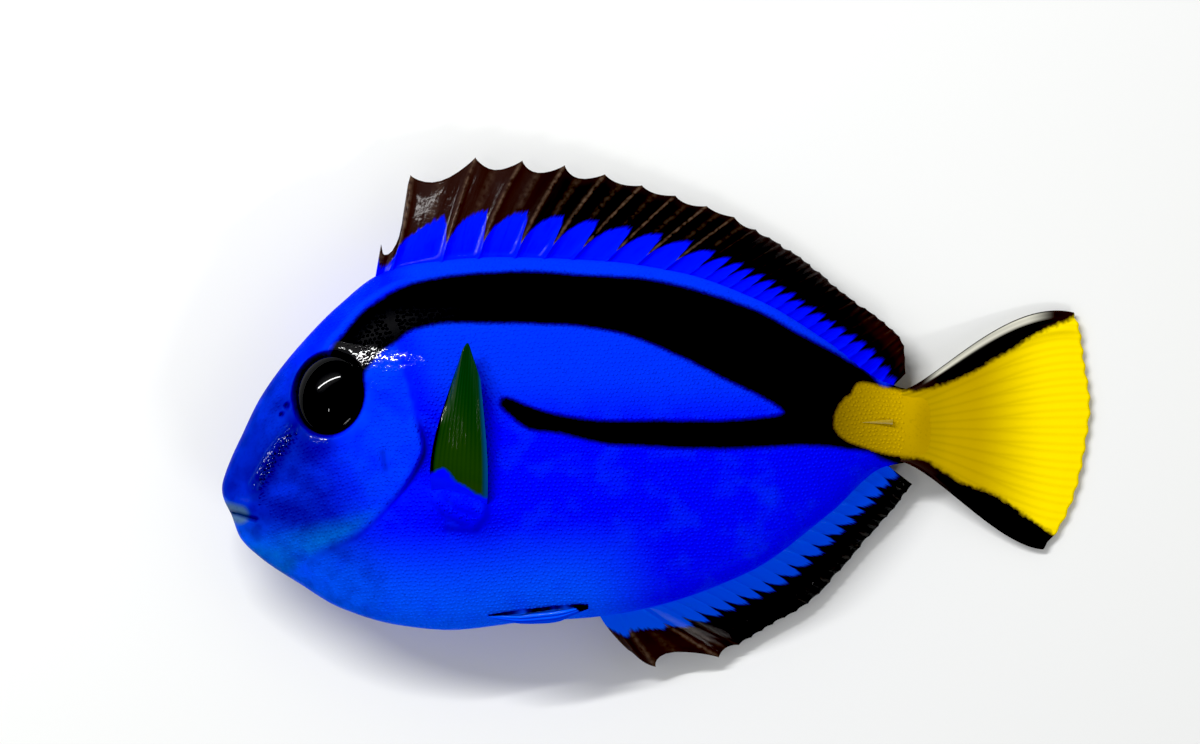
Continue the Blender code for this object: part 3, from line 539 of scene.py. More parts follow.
def middle_plane(station):
    """Height over the floor of the fish's middle plane: level, then sagging to the tail's end."""
    t = np.clip((station - SAG_START) / (SAG_END - SAG_START), 0, 1)
    drop = t**3 * (10 - 15 * t + 6 * t * t)
    return MIDDLE_HEIGHT + (TAIL_HEIGHT - MIDDLE_HEIGHT) * drop


def laid(station, height, level):
    """Places on the laid fish, in metres. The origin is under the middle of its outline."""
    x = station - TOTAL_LENGTH / 2
    y = height - (HIGHEST + LOWEST) / 2
    return np.stack(np.broadcast_arrays(x, y, level), -1) * MM


def corners(bm):
    """The places of a bmesh's vertices as one array."""
    return np.array([vertex.co for vertex in bm.verts], float)


def new_piece(name, bm, nodes, surface):
    """A finished piece of the fish from a bmesh: it replaces solid nodes and rides on the root."""
    mesh = bpy.data.meshes.new(name)
    bmesh.ops.recalc_face_normals(bm, faces=bm.faces)
    bm.to_mesh(mesh)
    bm.free()
    obj = bpy.data.objects.new(name, mesh)
    bpy.context.scene.collection.objects.link(obj)
    mesh.materials.append(surface)
    mesh.shade_smooth()
    if nodes:
        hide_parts(*nodes)
    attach(obj, "root")
    return obj


def move_vertices(obj, places):
    """Gives a mesh's vertices new places, with the faces turned outwards again."""
    obj.data.vertices.foreach_set("co", np.asarray(places, np.float32).ravel())
    obj.data.update()
    bm = bmesh.new()
    bm.from_mesh(obj.data)
    if bm.calc_volume(signed=True) < 0:
        bmesh.ops.reverse_faces(bm, faces=bm.faces)
        bm.to_mesh(obj.data)
    bm.free()


def store(obj, values):
    """Keeps numbers on the vertices for the materials to read."""
    for name, numbers in values.items():
        numbers = np.asarray(numbers, np.float32)
        kind, field = ("FLOAT", "value") if numbers.ndim == 1 else ("FLOAT_VECTOR", "vector")
        attribute = obj.data.attributes.new(name, kind, "POINT")
        attribute.data.foreach_set(field, numbers.ravel())


def markings(station, height):
    """The skin's pattern: distances in millimetres inside each area, and shares of each tone, painted shade
    among them.
    """
    middle, half, width = section(station)
    share = np.clip((height - middle) / half, -1, 1)
    behind = behind_gill(station, height)
    covered = smooth_step(height, -9.5, -6) * (1 - smooth_step(height, -0.8, 0.8))
    # The chin: its own lighter cyan, with its blue dimmed as painted shade
    (s0, h0), (s1, h1) = CHIN_LINE
    chin_edge = h0 + (station - s0) * (h1 - h0) / (s1 - s0)
    chin = 0.85 * smooth_step(chin_edge - height, -0.7, 0.9) * (1 - smooth_step(behind, -0.8, 0.1))
    belly_share = 0.9 * smooth_step(-share, 0.4, 0.95) * (1 - smooth_step(station, 22, 29))
    head = smooth_step(-behind, -0.1, 0.3) * smooth_step(station, 5.5, 9.0)
    head = head * (1 - 0.8 * smooth_step(height, 5, 8))
    lip = 1 - smooth_step(distance_to(MOUTH[:2], station, height), 0.35, 0.85)
    upper = 0.9 * smooth_step(height, -0.5, 3.5) * smooth_step(behind, 0, 2.5)
    above_band = inside_by(DARK_OUTLINE, station, height) + 0.3
    over_band = 0.7 * (1 - smooth_step(np.abs(above_band), 0.05, 0.3))
    # Painted shade: darker blue under the gill cover's edge, in the creases and the mouth, in the groove
    # and the shaded hollow before the eye, and in the nostril pits
    deep = 0.08 + 0.7 * smooth_step(height, -4.6, -2.6)
    fold = deep * covered * smooth_step(behind, -0.1, 0.1) * np.exp(-np.maximum(behind, 0) / 0.5)
    for points, reach, rise, shade in CREASES:
        near = np.exp(-((distance_to(points, station, height) / reach) ** 2))
        fold = np.maximum(fold, shade * near)
    groove = distance_to(GROOVE, station, height)
    fold = np.maximum(fold, 0.7 * np.exp(-((groove / 0.75) ** 2)))
    (s, h), inner, outer = SHADED_HOLLOW
    hollow = np.hypot(station - s, height - h)
    fold = np.maximum(fold, 0.5 * (1 - smooth_step(hollow, inner, outer)))
    for (s, h), radius in NOSTRILS:
        away = np.hypot(station - s, height - h)
        fold = np.maximum(fold, 0.8 - 0.8 * smooth_step(away, 0.4 * radius, 1.1 * radius))
    wet = np.zeros(np.shape(station))
    for points, reach in WET_PATCHES:
        near = distance_to(points, station, height)
        wet = np.maximum(wet, 1 - smooth_step(near, 0.5 * reach, 1.3 * reach))
    dark = inside_by(DARK_OUTLINE, station, height)
    return {
        "dark": np.maximum(dark, EYE_BLACK - from_eye(station, height)),
        "yellow": inside_by(YELLOW_OUTLINE, station, height),
        "chin": chin,
        "belly": belly_share,
        "high": np.maximum(upper, over_band * smooth_step(share, 0.5, 0.8)),
        "head": head,
        # Snout and forehead: painted shade there, and the ground for the bare-skin blotches
        "face": 1 - smooth_step(station + 0.35 * (height - 2), 3.0, 8.5),
        "lip": lip,
        "fold": fold,
        "wet": wet,
        "along": station,
    }


def add_node(tree, kind, inputs=None, output=0, **settings):
    """Adds a node with its settings, and its inputs as values or as the sockets that feed them."""
    node = tree.nodes.new(kind)
    for name, value in settings.items():
        setattr(node, name, value)
    for name, value in (inputs or {}).items():
        if isinstance(value, bpy.types.NodeSocket):
            tree.links.new(value, node.inputs[name])
        else:
            node.inputs[name].default_value = value
    return node.outputs[output]


def new_material(name):
    """An empty material: its node tree, its shader joined to the output, and the place shaded."""
    made = bpy.data.materials.new(name)
    made.use_nodes = True
    tree = made.node_tree
    place = add_node(tree, "ShaderNodeTexCoord", output="Object")
    return made, tree, tree.nodes["Principled BSDF"], place


def read(tree, name):
    """A number kept on the vertices."""
    return add_node(tree, "ShaderNodeAttribute", output="Fac", attribute_name=name)


def paint(tree, under, layers):
    """Colours laid one over another, each with its share. Every layer is one Mix node."""
    for share, colour in layers:
        inputs = {SHARE: share, UNDER: under, ABOVE: colour}
        under = add_node(tree, "ShaderNodeMix", inputs, output=MIXED, data_type="RGBA")
    return under


def make_wet(shader, colour, film, bump):
    """A dull surface under a bumpy film of water. A socket tells how much of the film shines."""
    links = shader.id_data.links
    links.new(colour, shader.inputs["Base Color"])
    links.new(film, shader.inputs["Coat Weight"])
    links.new(bump, shader.inputs["Normal"])
    links.new(bump, shader.inputs["Coat Normal"])
    shader.inputs["Roughness"].default_value = 0.5
    shader.inputs["IOR"].default_value = 1.36
    shader.inputs["Specular IOR Level"].default_value = 0.06
    shader.inputs["Coat Roughness"].default_value = 0.05
    shader.inputs["Coat IOR"].default_value = 1.33


def wet_scaled_skin():
    """Fish skin under a film of water: matt pigment in blue and black beneath a clear thin coat, so
    the colour stays deep all over and light shows only as small sharp glints."""
    body = bpy.context.scene.tang_body
    made, tree, shader, place = new_material("wet_scaled_skin")
    # Pigment seen as grain about 0.2 mm across, clouds of shade of 2 mm and blotches of 1 mm, pores
    # of 0.1 mm, and drops in the film of 0.6 mm
    noises = ((5000.0, 3.0), (500.0, 4.0), (900.0, 4.0), (9000.0, 2.0), (1700.0, 1.5))
    grain, cloud, mottle, pores, drops = (
        add_node(tree, NOISE, {"Vector": place, "Scale": scale, "Detail": detail})
        for scale, detail in noises
    )
    jitter = add_node(tree, MATH, {0: grain, 1: 0.16, 2: -0.08}, operation="MULTIPLY_ADD")
    soft = add_node(tree, MATH, {0: cloud, 1: 0.2, 2: jitter}, operation="MULTIPLY_ADD")
    edges = []
    for name, low, high in (("dark", -0.1, 0.34), ("yellow", -0.05, 0.3)):
        inside = add_node(tree, MATH, {0: read(tree, name), 1: soft}, operation="ADD")
        inputs = {"Value": inside, "From Min": low, "From Max": high}
        edges.append(add_node(tree, RANGE, inputs, interpolation_type="SMOOTHSTEP"))
    band, wedge = edges
    cloud_share, patchy, grain_share, blotch = (
        add_node(tree, RANGE, {"Value": value, "From Min": low, "From Max": high, end: share})
        for value, low, high, end, share in (
            (cloud, 0.5, 0.8, "To Max", 0.5),
            (cloud, 0.3, 0.6, "To Min", 0.25),
            (grain, 0.55, 0.8, "To Max", 0.3),
            (mottle, 0.42, 0.68, "To Max", 0.4),
        )
    )
    bare = add_node(tree, MATH, {0: read(tree, "face"), 1: read(tree, "chin")}, operation="MAXIMUM")
    blotches = add_node(tree, MATH, {0: blotch, 1: bare}, operation="MULTIPLY")
    head = add_node(tree, MATH, {0: patchy, 1: read(tree, "head")}, operation="MULTIPLY")
    blue = paint(
        tree, body.blue,
        [
            (read(tree, "high"), body.high_blue),
            (head, body.head_blue),
            # Painted shade: the snout and forehead are painted darker where the head rounds away from the
            # light
            (read(tree, "face"), body.face_blue),
            (read(tree, "belly"), body.belly_blue),
            # The chin's own lighter cyan, with its blue dimmed as painted shade
            (read(tree, "chin"), body.chin_blue),
            (cloud_share, body.high_blue),
            (blotches, body.fold_blue),
            (read(tree, "lip"), body.lip_grey),
            # Painted shade: darker blue in the gill slit, creases, mouth, groove, hollow and nostril pits
            (read(tree, "fold"), body.fold_blue),
            (grain_share, body.fold_blue),
        ],
    )
    rear = add_node(tree, RANGE, {"Value": read(tree, "along"), "From Min": 39.5, "From Max": 44.0})
    yellow = paint(tree, body.olive, [(rear, body.gold), (grain_share, body.olive)])
    colour = paint(tree, blue, [(band, body.band_black), (wedge, yellow)])
    # The film fills the pores where it is thick
    wet = read(tree, "wet")
    bare_pores = add_node(tree, RANGE, {"Value": wet, "To Min": 0.3, "To Max": 0.02})
    bump = add_node(tree, BUMP, {"Strength": bare_pores, "Distance": 0.015 * MM, "Height": pores})
    film = add_node(tree, MATH, {0: drops, 1: wet}, operation="MULTIPLY")
    inputs = {"Strength": 1.0, "Distance": 0.06 * MM, "Height": film, "Normal": bump}
    wet_bump = add_node(tree, BUMP, inputs)
    inputs = {"Value": wet, "From Min": 0.2, "From Max": 0.5, "To Min": 0.02, "To Max": 1.0}
    shine = add_node(tree, RANGE, inputs, interpolation_type="SMOOTHSTEP")
    make_wet(shader, colour, shine, wet_bump)
    inputs = {"Value": wet, "From Min": 0.1, "From Max": 0.25, "To Min": 0.25, "To Max": 0.06}
    tree.links.new(add_node(tree, RANGE, inputs), shader.inputs["Coat Roughness"])
    return made


def wet_rayed_fin():
    """Dark fin skin stretched over rays: blue and fleshy at its foot, brown-black above, with paler
    brown rays. Wet, so ridges and ruffles catch thin white lines of light."""
    fins = bpy.context.scene.tang_fins
    made, tree, shader, place = new_material("wet_rayed_fin")
    grain = add_node(tree, NOISE, {"Vector": place, "Scale": FIN_GRAIN, "Detail": 3.0})
    # Fibres about 0.15 mm across that run along the rays
    lie = add_node(tree, "ShaderNodeAttribute", output="Vector", attribute_name="fibre")
    fibre = add_node(tree, NOISE, {"Vector": lie, "Scale": 6.0, "Detail": 2.0})
    edge = add_node(tree, MATH, {0: fibre, 1: 0.8, 2: read(tree, "lobe")}, operation="MULTIPLY_ADD")
    inputs = {"Value": edge, "From Min": 0.15, "From Max": 0.6}
    lobe = add_node(tree, RANGE, inputs, interpolation_type="SMOOTHSTEP")
    worn = add_node(tree, RANGE, {"Value": grain, "From Min": 0.3, "From Max": 0.65})
    streak = add_node(tree, MATH, {0: worn, 1: read(tree, "streak")}, operation="MULTIPLY")
    inputs = {"Value": fibre, "From Min": 0.5, "From Max": 0.75, "To Max": 0.45}
    thread = add_node(tree, RANGE, inputs)
    belly_blue = bpy.context.scene.tang_body.belly_blue
    blue = paint(tree, fins.blue, [(thread, fins.deep_blue), (read(tree, "pale"), belly_blue)])
    colour = paint(
        tree, fins.black,
        [(read(tree, "brown"), fins.brown), (streak, fins.streak), (lobe, blue)],
    )
    wet = read(tree, "wet")
    uneven = add_node(tree, MATH, {0: grain, 1: fibre}, operation="ADD")
    film = add_node(tree, MATH, {0: uneven, 1: wet}, operation="MULTIPLY")
    bump = add_node(tree, BUMP, {"Strength": 0.6, "Distance": FIN_RELIEF, "Height": film})
    shine = add_node(tree, MATH, {0: wet, 1: 0.16}, operation="MULTIPLY")
    make_wet(shader, colour, shine, bump)
    return made


def thin_fin(name, edge_name, ragged, low, high):
    """A fin material's start: the share inside a ragged edge kept on the vertices, and a fine bump."""
    made, tree, shader, place = new_material(name)
    grain = add_node(tree, NOISE, {"Vector": place, "Scale": FIN_GRAIN, "Detail": 3.0})
    inputs = {0: grain, 1: ragged, 2: read(tree, edge_name)}
    edge = add_node(tree, MATH, inputs, operation="MULTIPLY_ADD")
    inputs = {"Value": edge, "From Min": low, "From Max": high}
    inside = add_node(tree, RANGE, inputs, interpolation_type="SMOOTHSTEP")
    bump = add_node(tree, BUMP, {"Strength": 0.5, "Distance": FIN_RELIEF, "Height": grain})
    return made, tree, shader, inside, bump


def wet_tail_fin():
    """Thin yellow membrane over fine branched rays, between black outer rays. The yellow is a dull gold at
    its fleshy foot and is painted brighter at its thin rear, as painted light shining through it; the clear
    strip at its top is painted pale, as the lit floor seen through it."""
    fins = bpy.context.scene.tang_fins
    made, tree, shader, band, bump = thin_fin("wet_tail_fin", "yellow", 0.4, 0.0, 0.4)
    # Painted light: the yellow turns from dull gold at the foot to bright at the thin rear, as light
    # shining through
    yellow = paint(
        tree, fins.tail_gold,
        [(read(tree, "rear"), fins.yellow), (read(tree, "streak"), fins.tail_streak)],
    )
    # Painted light: the clear strip is painted pale, as the lit floor seen through it
    dark = paint(
        tree, fins.black,
        [(read(tree, "brown"), fins.brown), (read(tree, "clear"), fins.clear)],
    )
    make_wet(shader, paint(tree, dark, [(band, yellow)]), read(tree, "wet"), bump)
    return made


def wet_leaf_fin():
    """Clear breast fin seen over dark skin: deep olive green, teal where its edge thins out, and a black
    line of painted shadow along its raised front edge.
    """
    fins = bpy.context.scene.tang_fins
    made, tree, shader, sleeve, bump = thin_fin("wet_leaf_fin", "sleeve", 0.3, 0.05, 0.3)
    colour = paint(
        tree, fins.leaf_olive,
        [
            (read(tree, "rear"), fins.leaf_green),
            (read(tree, "streak"), fins.leaf_streak),
            (read(tree, "rim"), fins.leaf_rim),
            # Painted shadow: a black line along the fin's raised front edge
            (read(tree, "line"), fins.black),
            (sleeve, bpy.context.scene.tang_body.blue),
        ],
    )
    make_wet(shader, colour, read(tree, "wet"), bump)
    return made


def clear_eye():
    """A wet cornea over a black iris: no colour of its own, and one sharp mirror line of light."""
    made, tree, shader, place = new_material("clear_eye")
    fleck = add_node(tree, NOISE, {"Vector": place, "Scale": 2500.0, "Detail": 2.0})
    share = add_node(tree, RANGE, {"Value": fleck, "From Min": 0.5, "From Max": 0.8})
    colour = paint(tree, hex_colour("#000001"), [(share, hex_colour("#030203"))])
    tree.links.new(colour, shader.inputs["Base Color"])
    shader.inputs["Roughness"].default_value = 0.3
    shader.inputs["IOR"].default_value = 1.376
    shader.inputs["Specular IOR Level"].default_value = 0.03
    shader.inputs["Coat Weight"].default_value = 0.36
    shader.inputs["Coat Roughness"].default_value = 0.02
    shader.inputs["Coat IOR"].default_value = 1.376
    return made


def smooth_bone():
    """A bare spine of pale bone, worn smooth, with a grain of darker and paler gold."""
    made, tree, shader, place = new_material("smooth_bone")
    grain = add_node(tree, NOISE, {"Vector": place, "Scale": 4000.0, "Detail": 2.0})
    colour = paint(tree, hex_colour("#8f780c"), [(grain, hex_colour("#b4961a"))])
    tree.links.new(colour, shader.inputs["Base Color"])
    shader.inputs["Roughness"].default_value = 0.35
    shader.inputs["IOR"].default_value = 1.54
    return made


def matt_floor():
    """Matt painted board: pale, even and without gloss."""
    made, tree, shader, place = new_material("matt_floor")
    tone = add_node(tree, NOISE, {"Vector": place, "Scale": 15.0, "Detail": 2.0})
    colour = paint(tree, bpy.context.scene.tang_stage.floor, [(tone, hex_colour("#e9eaea"))])
    tree.links.new(colour, shader.inputs["Base Color"])
    shader.inputs["Roughness"].default_value = 0.9
    shader.inputs["Specular IOR Level"].default_value = 0.1
    return made


def kept_material(make):
    """The material that a function makes, made only once."""
    return bpy.data.materials.get(make.__name__) or make()


def ring_station(along):
    """Station of a ring at a share of the body: rings crowd towards the snout."""
    return BODY_END * along**2 / (SNOUT_CROWDING * along + 1 - SNOUT_CROWDING)


def pectoral_outline(along, out):
    """Places in the breast fin, whose rays run up from its root and close towards the tip."""
    shares = [point[0] for point in PECTORAL_TIPS]
    tip_station = smooth_line(list(zip(shares, [p[1] for p in PECTORAL_TIPS])))(along)
    tip_height = smooth_line(list(zip(shares, [p[2] for p in PECTORAL_TIPS])))(along)
    (s0, h0), (s1, h1) = PECTORAL_ROOT
    root_station, root_height = s0 + (s1 - s0) * along, h0 + (h1 - h0) * along
    front, rear = PECTORAL_BELLY
    bulge = (front * (1 - along) + rear * along) * np.sin(np.pi * out**0.7)
    station = root_station + (tip_station - root_station) * out + bulge
    return station, root_height + (tip_height - root_height) * out


def pocket_outline():
    """Outline of the right breast fin, which lies pressed under the flank."""
    out = np.linspace(0, 1, 12)
    front = np.column_stack(pectoral_outline(0 * out, out))
    tips = np.column_stack(pectoral_outline(np.linspace(0, 1, 6)[1:-1], np.ones(4)))
    rear = np.column_stack(pectoral_outline(0 * out + 1, out[::-1]))
    return np.vstack([front, tips, rear]) + (PECTORAL_RIGHT_SHIFT, 0)


def rested(station, height, level):
    """Levels pressed flat where the fish lies on the floor and on its right breast fin."""
    near = inside_by(pocket_outline(), station, height)
    pocket = POCKET_TOP * smooth_step(near, -2 * POCKET_MARGIN, -POCKET_MARGIN)
    return np.maximum(level, REST + pocket)


def skin_places(unit):
    """Puts the points of a unit ball on the body, with more of them on the left flank."""
    along = np.arccos(np.clip(unit[:, 2], -1, 1)) / np.pi
    turn = np.arctan2(unit[:, 1], unit[:, 0])
    turn = turn - LEFT_CROWDING * np.sin(turn)
    station = ring_station(along)
    middle, half, width = section(station)
    share = np.sin(turn)
    height = middle + half * share
    side = width * np.abs(np.cos(turn)) ** fullness(share)
    side += relief(station, height) * np.minimum(side / np.maximum(width, 1e-6) * 2, 1)
    level = middle_plane(station) + np.copysign(side, np.cos(turn))
    return station, height, rested(station, height, level)


class TANG_OT_skin(bpy.types.Operator):
    """One skin over head, jaw, gill covers, trunk and tail stalk, with the folds of the head"""

    bl_idname = "tang.skin"
    bl_label = "Skin"

    def execute(self, context):
        around, rings = SKIN_MESH
        bm = bmesh.new()
        bmesh.ops.create_uvsphere(bm, u_segments=around, v_segments=rings, radius=1)
        unit = corners(bm)
        nodes = ["head", "lower_jaw", "gill_cover_left", "gill_cover_right", "trunk", "tail_stalk"]
        skin = new_piece("skin", bm, nodes, kept_material(wet_scaled_skin))
        station, height, level = skin_places(unit)
        move_vertices(skin, laid(station, height, level))
        store(skin, markings(station, height))
        return {"FINISHED"}


def arc_table():
    """Arc length from a section's middle to its edge, for many stations, and how it fills."""
    turn = np.linspace(0, np.pi / 2, 200)
    stations = np.linspace(0.5, BODY_END, 120)
    lengths = []
    for station in stations:
        middle, half, width = section(station)
        steps = np.hypot(np.diff(half * np.sin(turn)), np.diff(width * np.cos(turn) ** ROUNDNESS))
        arc = np.concatenate([[0], np.cumsum(steps)])
        lengths.append(arc[-1])
        if station < 20:
            fill = arc / arc[-1]
    return stations, np.array(lengths), fill, turn


def scale_places(spots, drops, side):
    """Puts flat spots of the carpet, (station, arc) with a height over the skin, on one flank."""
    stations, lengths, fill, turns = arc_table()
    station, arc = spots[..., 0], spots[..., 1]
    reach = np.interp(station, stations, lengths)
    turn = np.sign(arc) * np.interp(np.clip(np.abs(arc) / reach, 0, 1), fill, turns)
    middle, half, width = section(station)
    height = middle + half * np.sin(turn)
    moved_station, moved_height, out = stand_off(flank, station, height, drops)
    surface = middle_plane(station) + side * flank(station, height)
    pressed = rested(station, height, surface) - surface
    level = middle_plane(moved_station) + side * out + pressed
    return moved_station, moved_height, np.maximum(level, 0), station, height


class TANG_OT_scales(bpy.types.Operator):
    """Small overlapping scales over each flank, one mesh a side, from an array laid on the skin"""

    bl_idname = "tang.scales"
    bl_label = "Scales"

    def execute(self, context):
        body = context.scene.tang_body
        pitch, rise = body.scale_pitch / MM, body.scale_rise / MM
        first, last = SCALE_STATIONS
        columns = int((last - first) / pitch)
        rows = int(2 * arc_table()[1].max() / pitch)
        bm = bmesh.new()
        bmesh.ops.create_cone(
            bm, cap_ends=True, segments=SCALE_SIDES, radius1=0.62 * pitch, radius2=0, depth=1
        )
        bmesh.ops.translate(
            bm, verts=[v for v in bm.verts if v.co.z > 0], vec=(0.3 * pitch, 0, 0)
        )
        for name, side in SIDES:
            mesh = bpy.data.meshes.new("scale")
            bm.to_mesh(mesh)
            guide = bpy.data.objects.new("scale", mesh)
            context.scene.collection.objects.link(guide)
            for count, step in ((columns, (pitch, 0, 0)), (rows, (0, pitch, 0))):
                array = guide.modifiers.new("carpet", "ARRAY")
                array.use_relative_offset = False
                array.use_constant_offset = True
                array.constant_offset_displace = step
                array.count = count
            graph = context.evaluated_depsgraph_get()
            carpet = bpy.data.meshes.new_from_object(guide.evaluated_get(graph))
            bpy.data.objects.remove(guide)
            self.lay(carpet, name, side, (rows, columns), pitch, rise)
        bm.free()
        return {"FINISHED"}

    def lay(self, carpet, name, side, counts, pitch, rise):
        """Bends a flat carpet of scales onto a flank and drops those past its edges."""
        rows, columns = counts
        flat = np.zeros(len(carpet.vertices) * 3, np.float32)
        carpet.vertices.foreach_get("co", flat)
        flat = flat.reshape(rows * columns, -1, 3).astype(float)
        row, column = np.divmod(np.arange(rows * columns), columns)
        chance = np.random.default_rng(SCALE_SEED + side)
        uneven = chance.uniform(-SCALE_UNEVEN, SCALE_UNEVEN, (rows * columns, 2)) * pitch
        root = np.column_stack([
            SCALE_STATIONS[0] + (column + 0.5 * (row % 2)) * pitch,
            (row - (rows - 1) / 2) * pitch,
        ]) + uneven
        shape = flat - np.column_stack([column * pitch, row * pitch, 0 * row])[:, None, :]
        spots = root[:, None, :] + shape[:, :, :2]
        height_share = 0.3 + 0.7 * smooth_step(root[:, :1], 7, 14)
        drops = np.where(shape[:, :, 2] > 0, rise, -0.7 * rise) * height_share
        moved_station, moved_height, level, station, height = scale_places(spots, drops, side)
        stations, lengths = arc_table()[:2]
        centre_station, centre_height = station.mean(1), height.mean(1)
        edge = np.interp(root[:, 0], stations, lengths) - np.abs(root[:, 1])
        near_mouth = distance_to(MOUTH, centre_station, centre_height)
        keep = (edge > SCALE_EDGE) & (near_mouth > 1.0)
        keep &= from_eye(centre_station, centre_height) > EYE_RIM[0] + 0.1
        for spot, radius in NOSTRILS:
            keep &= np.hypot(centre_station - spot[0], centre_height - spot[1]) > radius + 0.25
        behind = behind_gill(centre_station, centre_height)
        keep &= (behind < -0.2) | (behind > 0.3) | (centre_height < -9.5)
        for points, reach, depth, shade in CREASES:
            keep &= distance_to(points, centre_station, centre_height) > 0.25
        bm = bmesh.new()
        bm.from_mesh(carpet)
        layer = bm.loops.layers.uv.new("OFBake")
        count = shape.shape[1]
        bm.verts.ensure_lookup_table()
        gone = [bm.verts[i * count + j] for i in np.flatnonzero(~keep) for j in range(count)]
        bmesh.ops.delete(bm, geom=gone, context="VERTS")
        kept = np.flatnonzero(keep)
        patch = shape[:, :, :2] / (1.24 * pitch) * BAKE_PATCH
        unwrap = np.column_stack([root[:, 0] / BODY_END, 0.5 + root[:, 1] / (rows * pitch)])
        unwrap = (unwrap[:, None, :] + patch)[kept].reshape(-1, 2)
        bm.verts.index_update()
        for face in bm.faces:
            for loop in face.loops:
                loop[layer].uv = unwrap[loop.vert.index]
        scales = new_piece(f"scales_{name}", bm, [], kept_material(wet_scaled_skin))
        bpy.data.meshes.remove(carpet)
        places = laid(moved_station, moved_height, level)[kept]
        move_vertices(scales, places.reshape(-1, 3))
        store(scales, markings(station[kept].ravel(), height[kept].ravel()))


def set_in_flank(bm, side):
    """Turns an upright form along the flank's normal and sinks its middle under the skin."""
    axis = Vector(facing(plain_flank, *EYE_PLACE))
    centre = Vector((*EYE_PLACE, plain_flank(*EYE_PLACE))) - axis * EYE_DEPTH
    turn = Vector((0, 0, 1)).rotation_difference(axis).to_matrix()
    bmesh.ops.rotate(bm, verts=bm.verts, matrix=turn)
    bmesh.ops.scale(bm, verts=bm.verts, vec=(1, 1, side))
    place = laid(centre.x, centre.y, MIDDLE_HEIGHT + side * centre.z)
    bmesh.ops.translate(bm, verts=bm.verts, vec=place)


class TANG_OT_eyes(bpy.types.Operator):
    """Two flattened balls, each set along the flank's normal in its socket"""

    bl_idname = "tang.eyes"
    bl_label = "Eyes"

    def execute(self, context):
        around, rings = EYE_MESH
        for name, side in SIDES:
            bm = bmesh.new()
            bmesh.ops.create_uvsphere(bm, u_segments=around, v_segments=rings, radius=1)
            bmesh.ops.scale(bm, verts=bm.verts, vec=[radius * MM for radius in EYE_RADII])
            lean = Matrix.Rotation(EYE_LEAN, 3, "Z")
            bmesh.ops.rotate(bm, verts=bm.verts, matrix=lean)
            set_in_flank(bm, side)
            new_piece(f"eye_ball_{name}", bm, [f"eye_{name}"], kept_material(clear_eye))
        return {"FINISHED"}


def sheet(columns, rows):
    """A flat closed sheet, with each point's share along the root, share out to the edge and face."""
    bm = bmesh.new()
    bmesh.ops.create_grid(bm, x_segments=columns, y_segments=rows, size=0.5)
    bmesh.ops.solidify(bm, geom=bm.faces, thickness=1)
    flat = corners(bm)
    face = np.where(flat[:, 2] < flat[:, 2].min() + 0.5, -1, 1)
    return bm, flat[:, 0] + 0.5, flat[:, 1] + 0.5, face


def fin_piece(name, node, material, facets, shape):
    """A fin from a flat closed sheet, whose places and numbers a function gives."""
    bm, *spots = sheet(*facets)
    piece = new_piece(name, bm, [node], kept_material(material))
    station, height, level, values = shape(*spots)
    move_vertices(piece, laid(station, height, level))
    store(piece, values)


def crowded(number):
    """Draws ray numbers towards the whole ones, so that ridges get more facets."""
    share = number % 1
    return number - RAY_CROWDING * np.sin(2 * np.pi * share) / (2 * np.pi)


def ridge(distance, reach):
    return np.exp(-((distance / reach) ** 2))


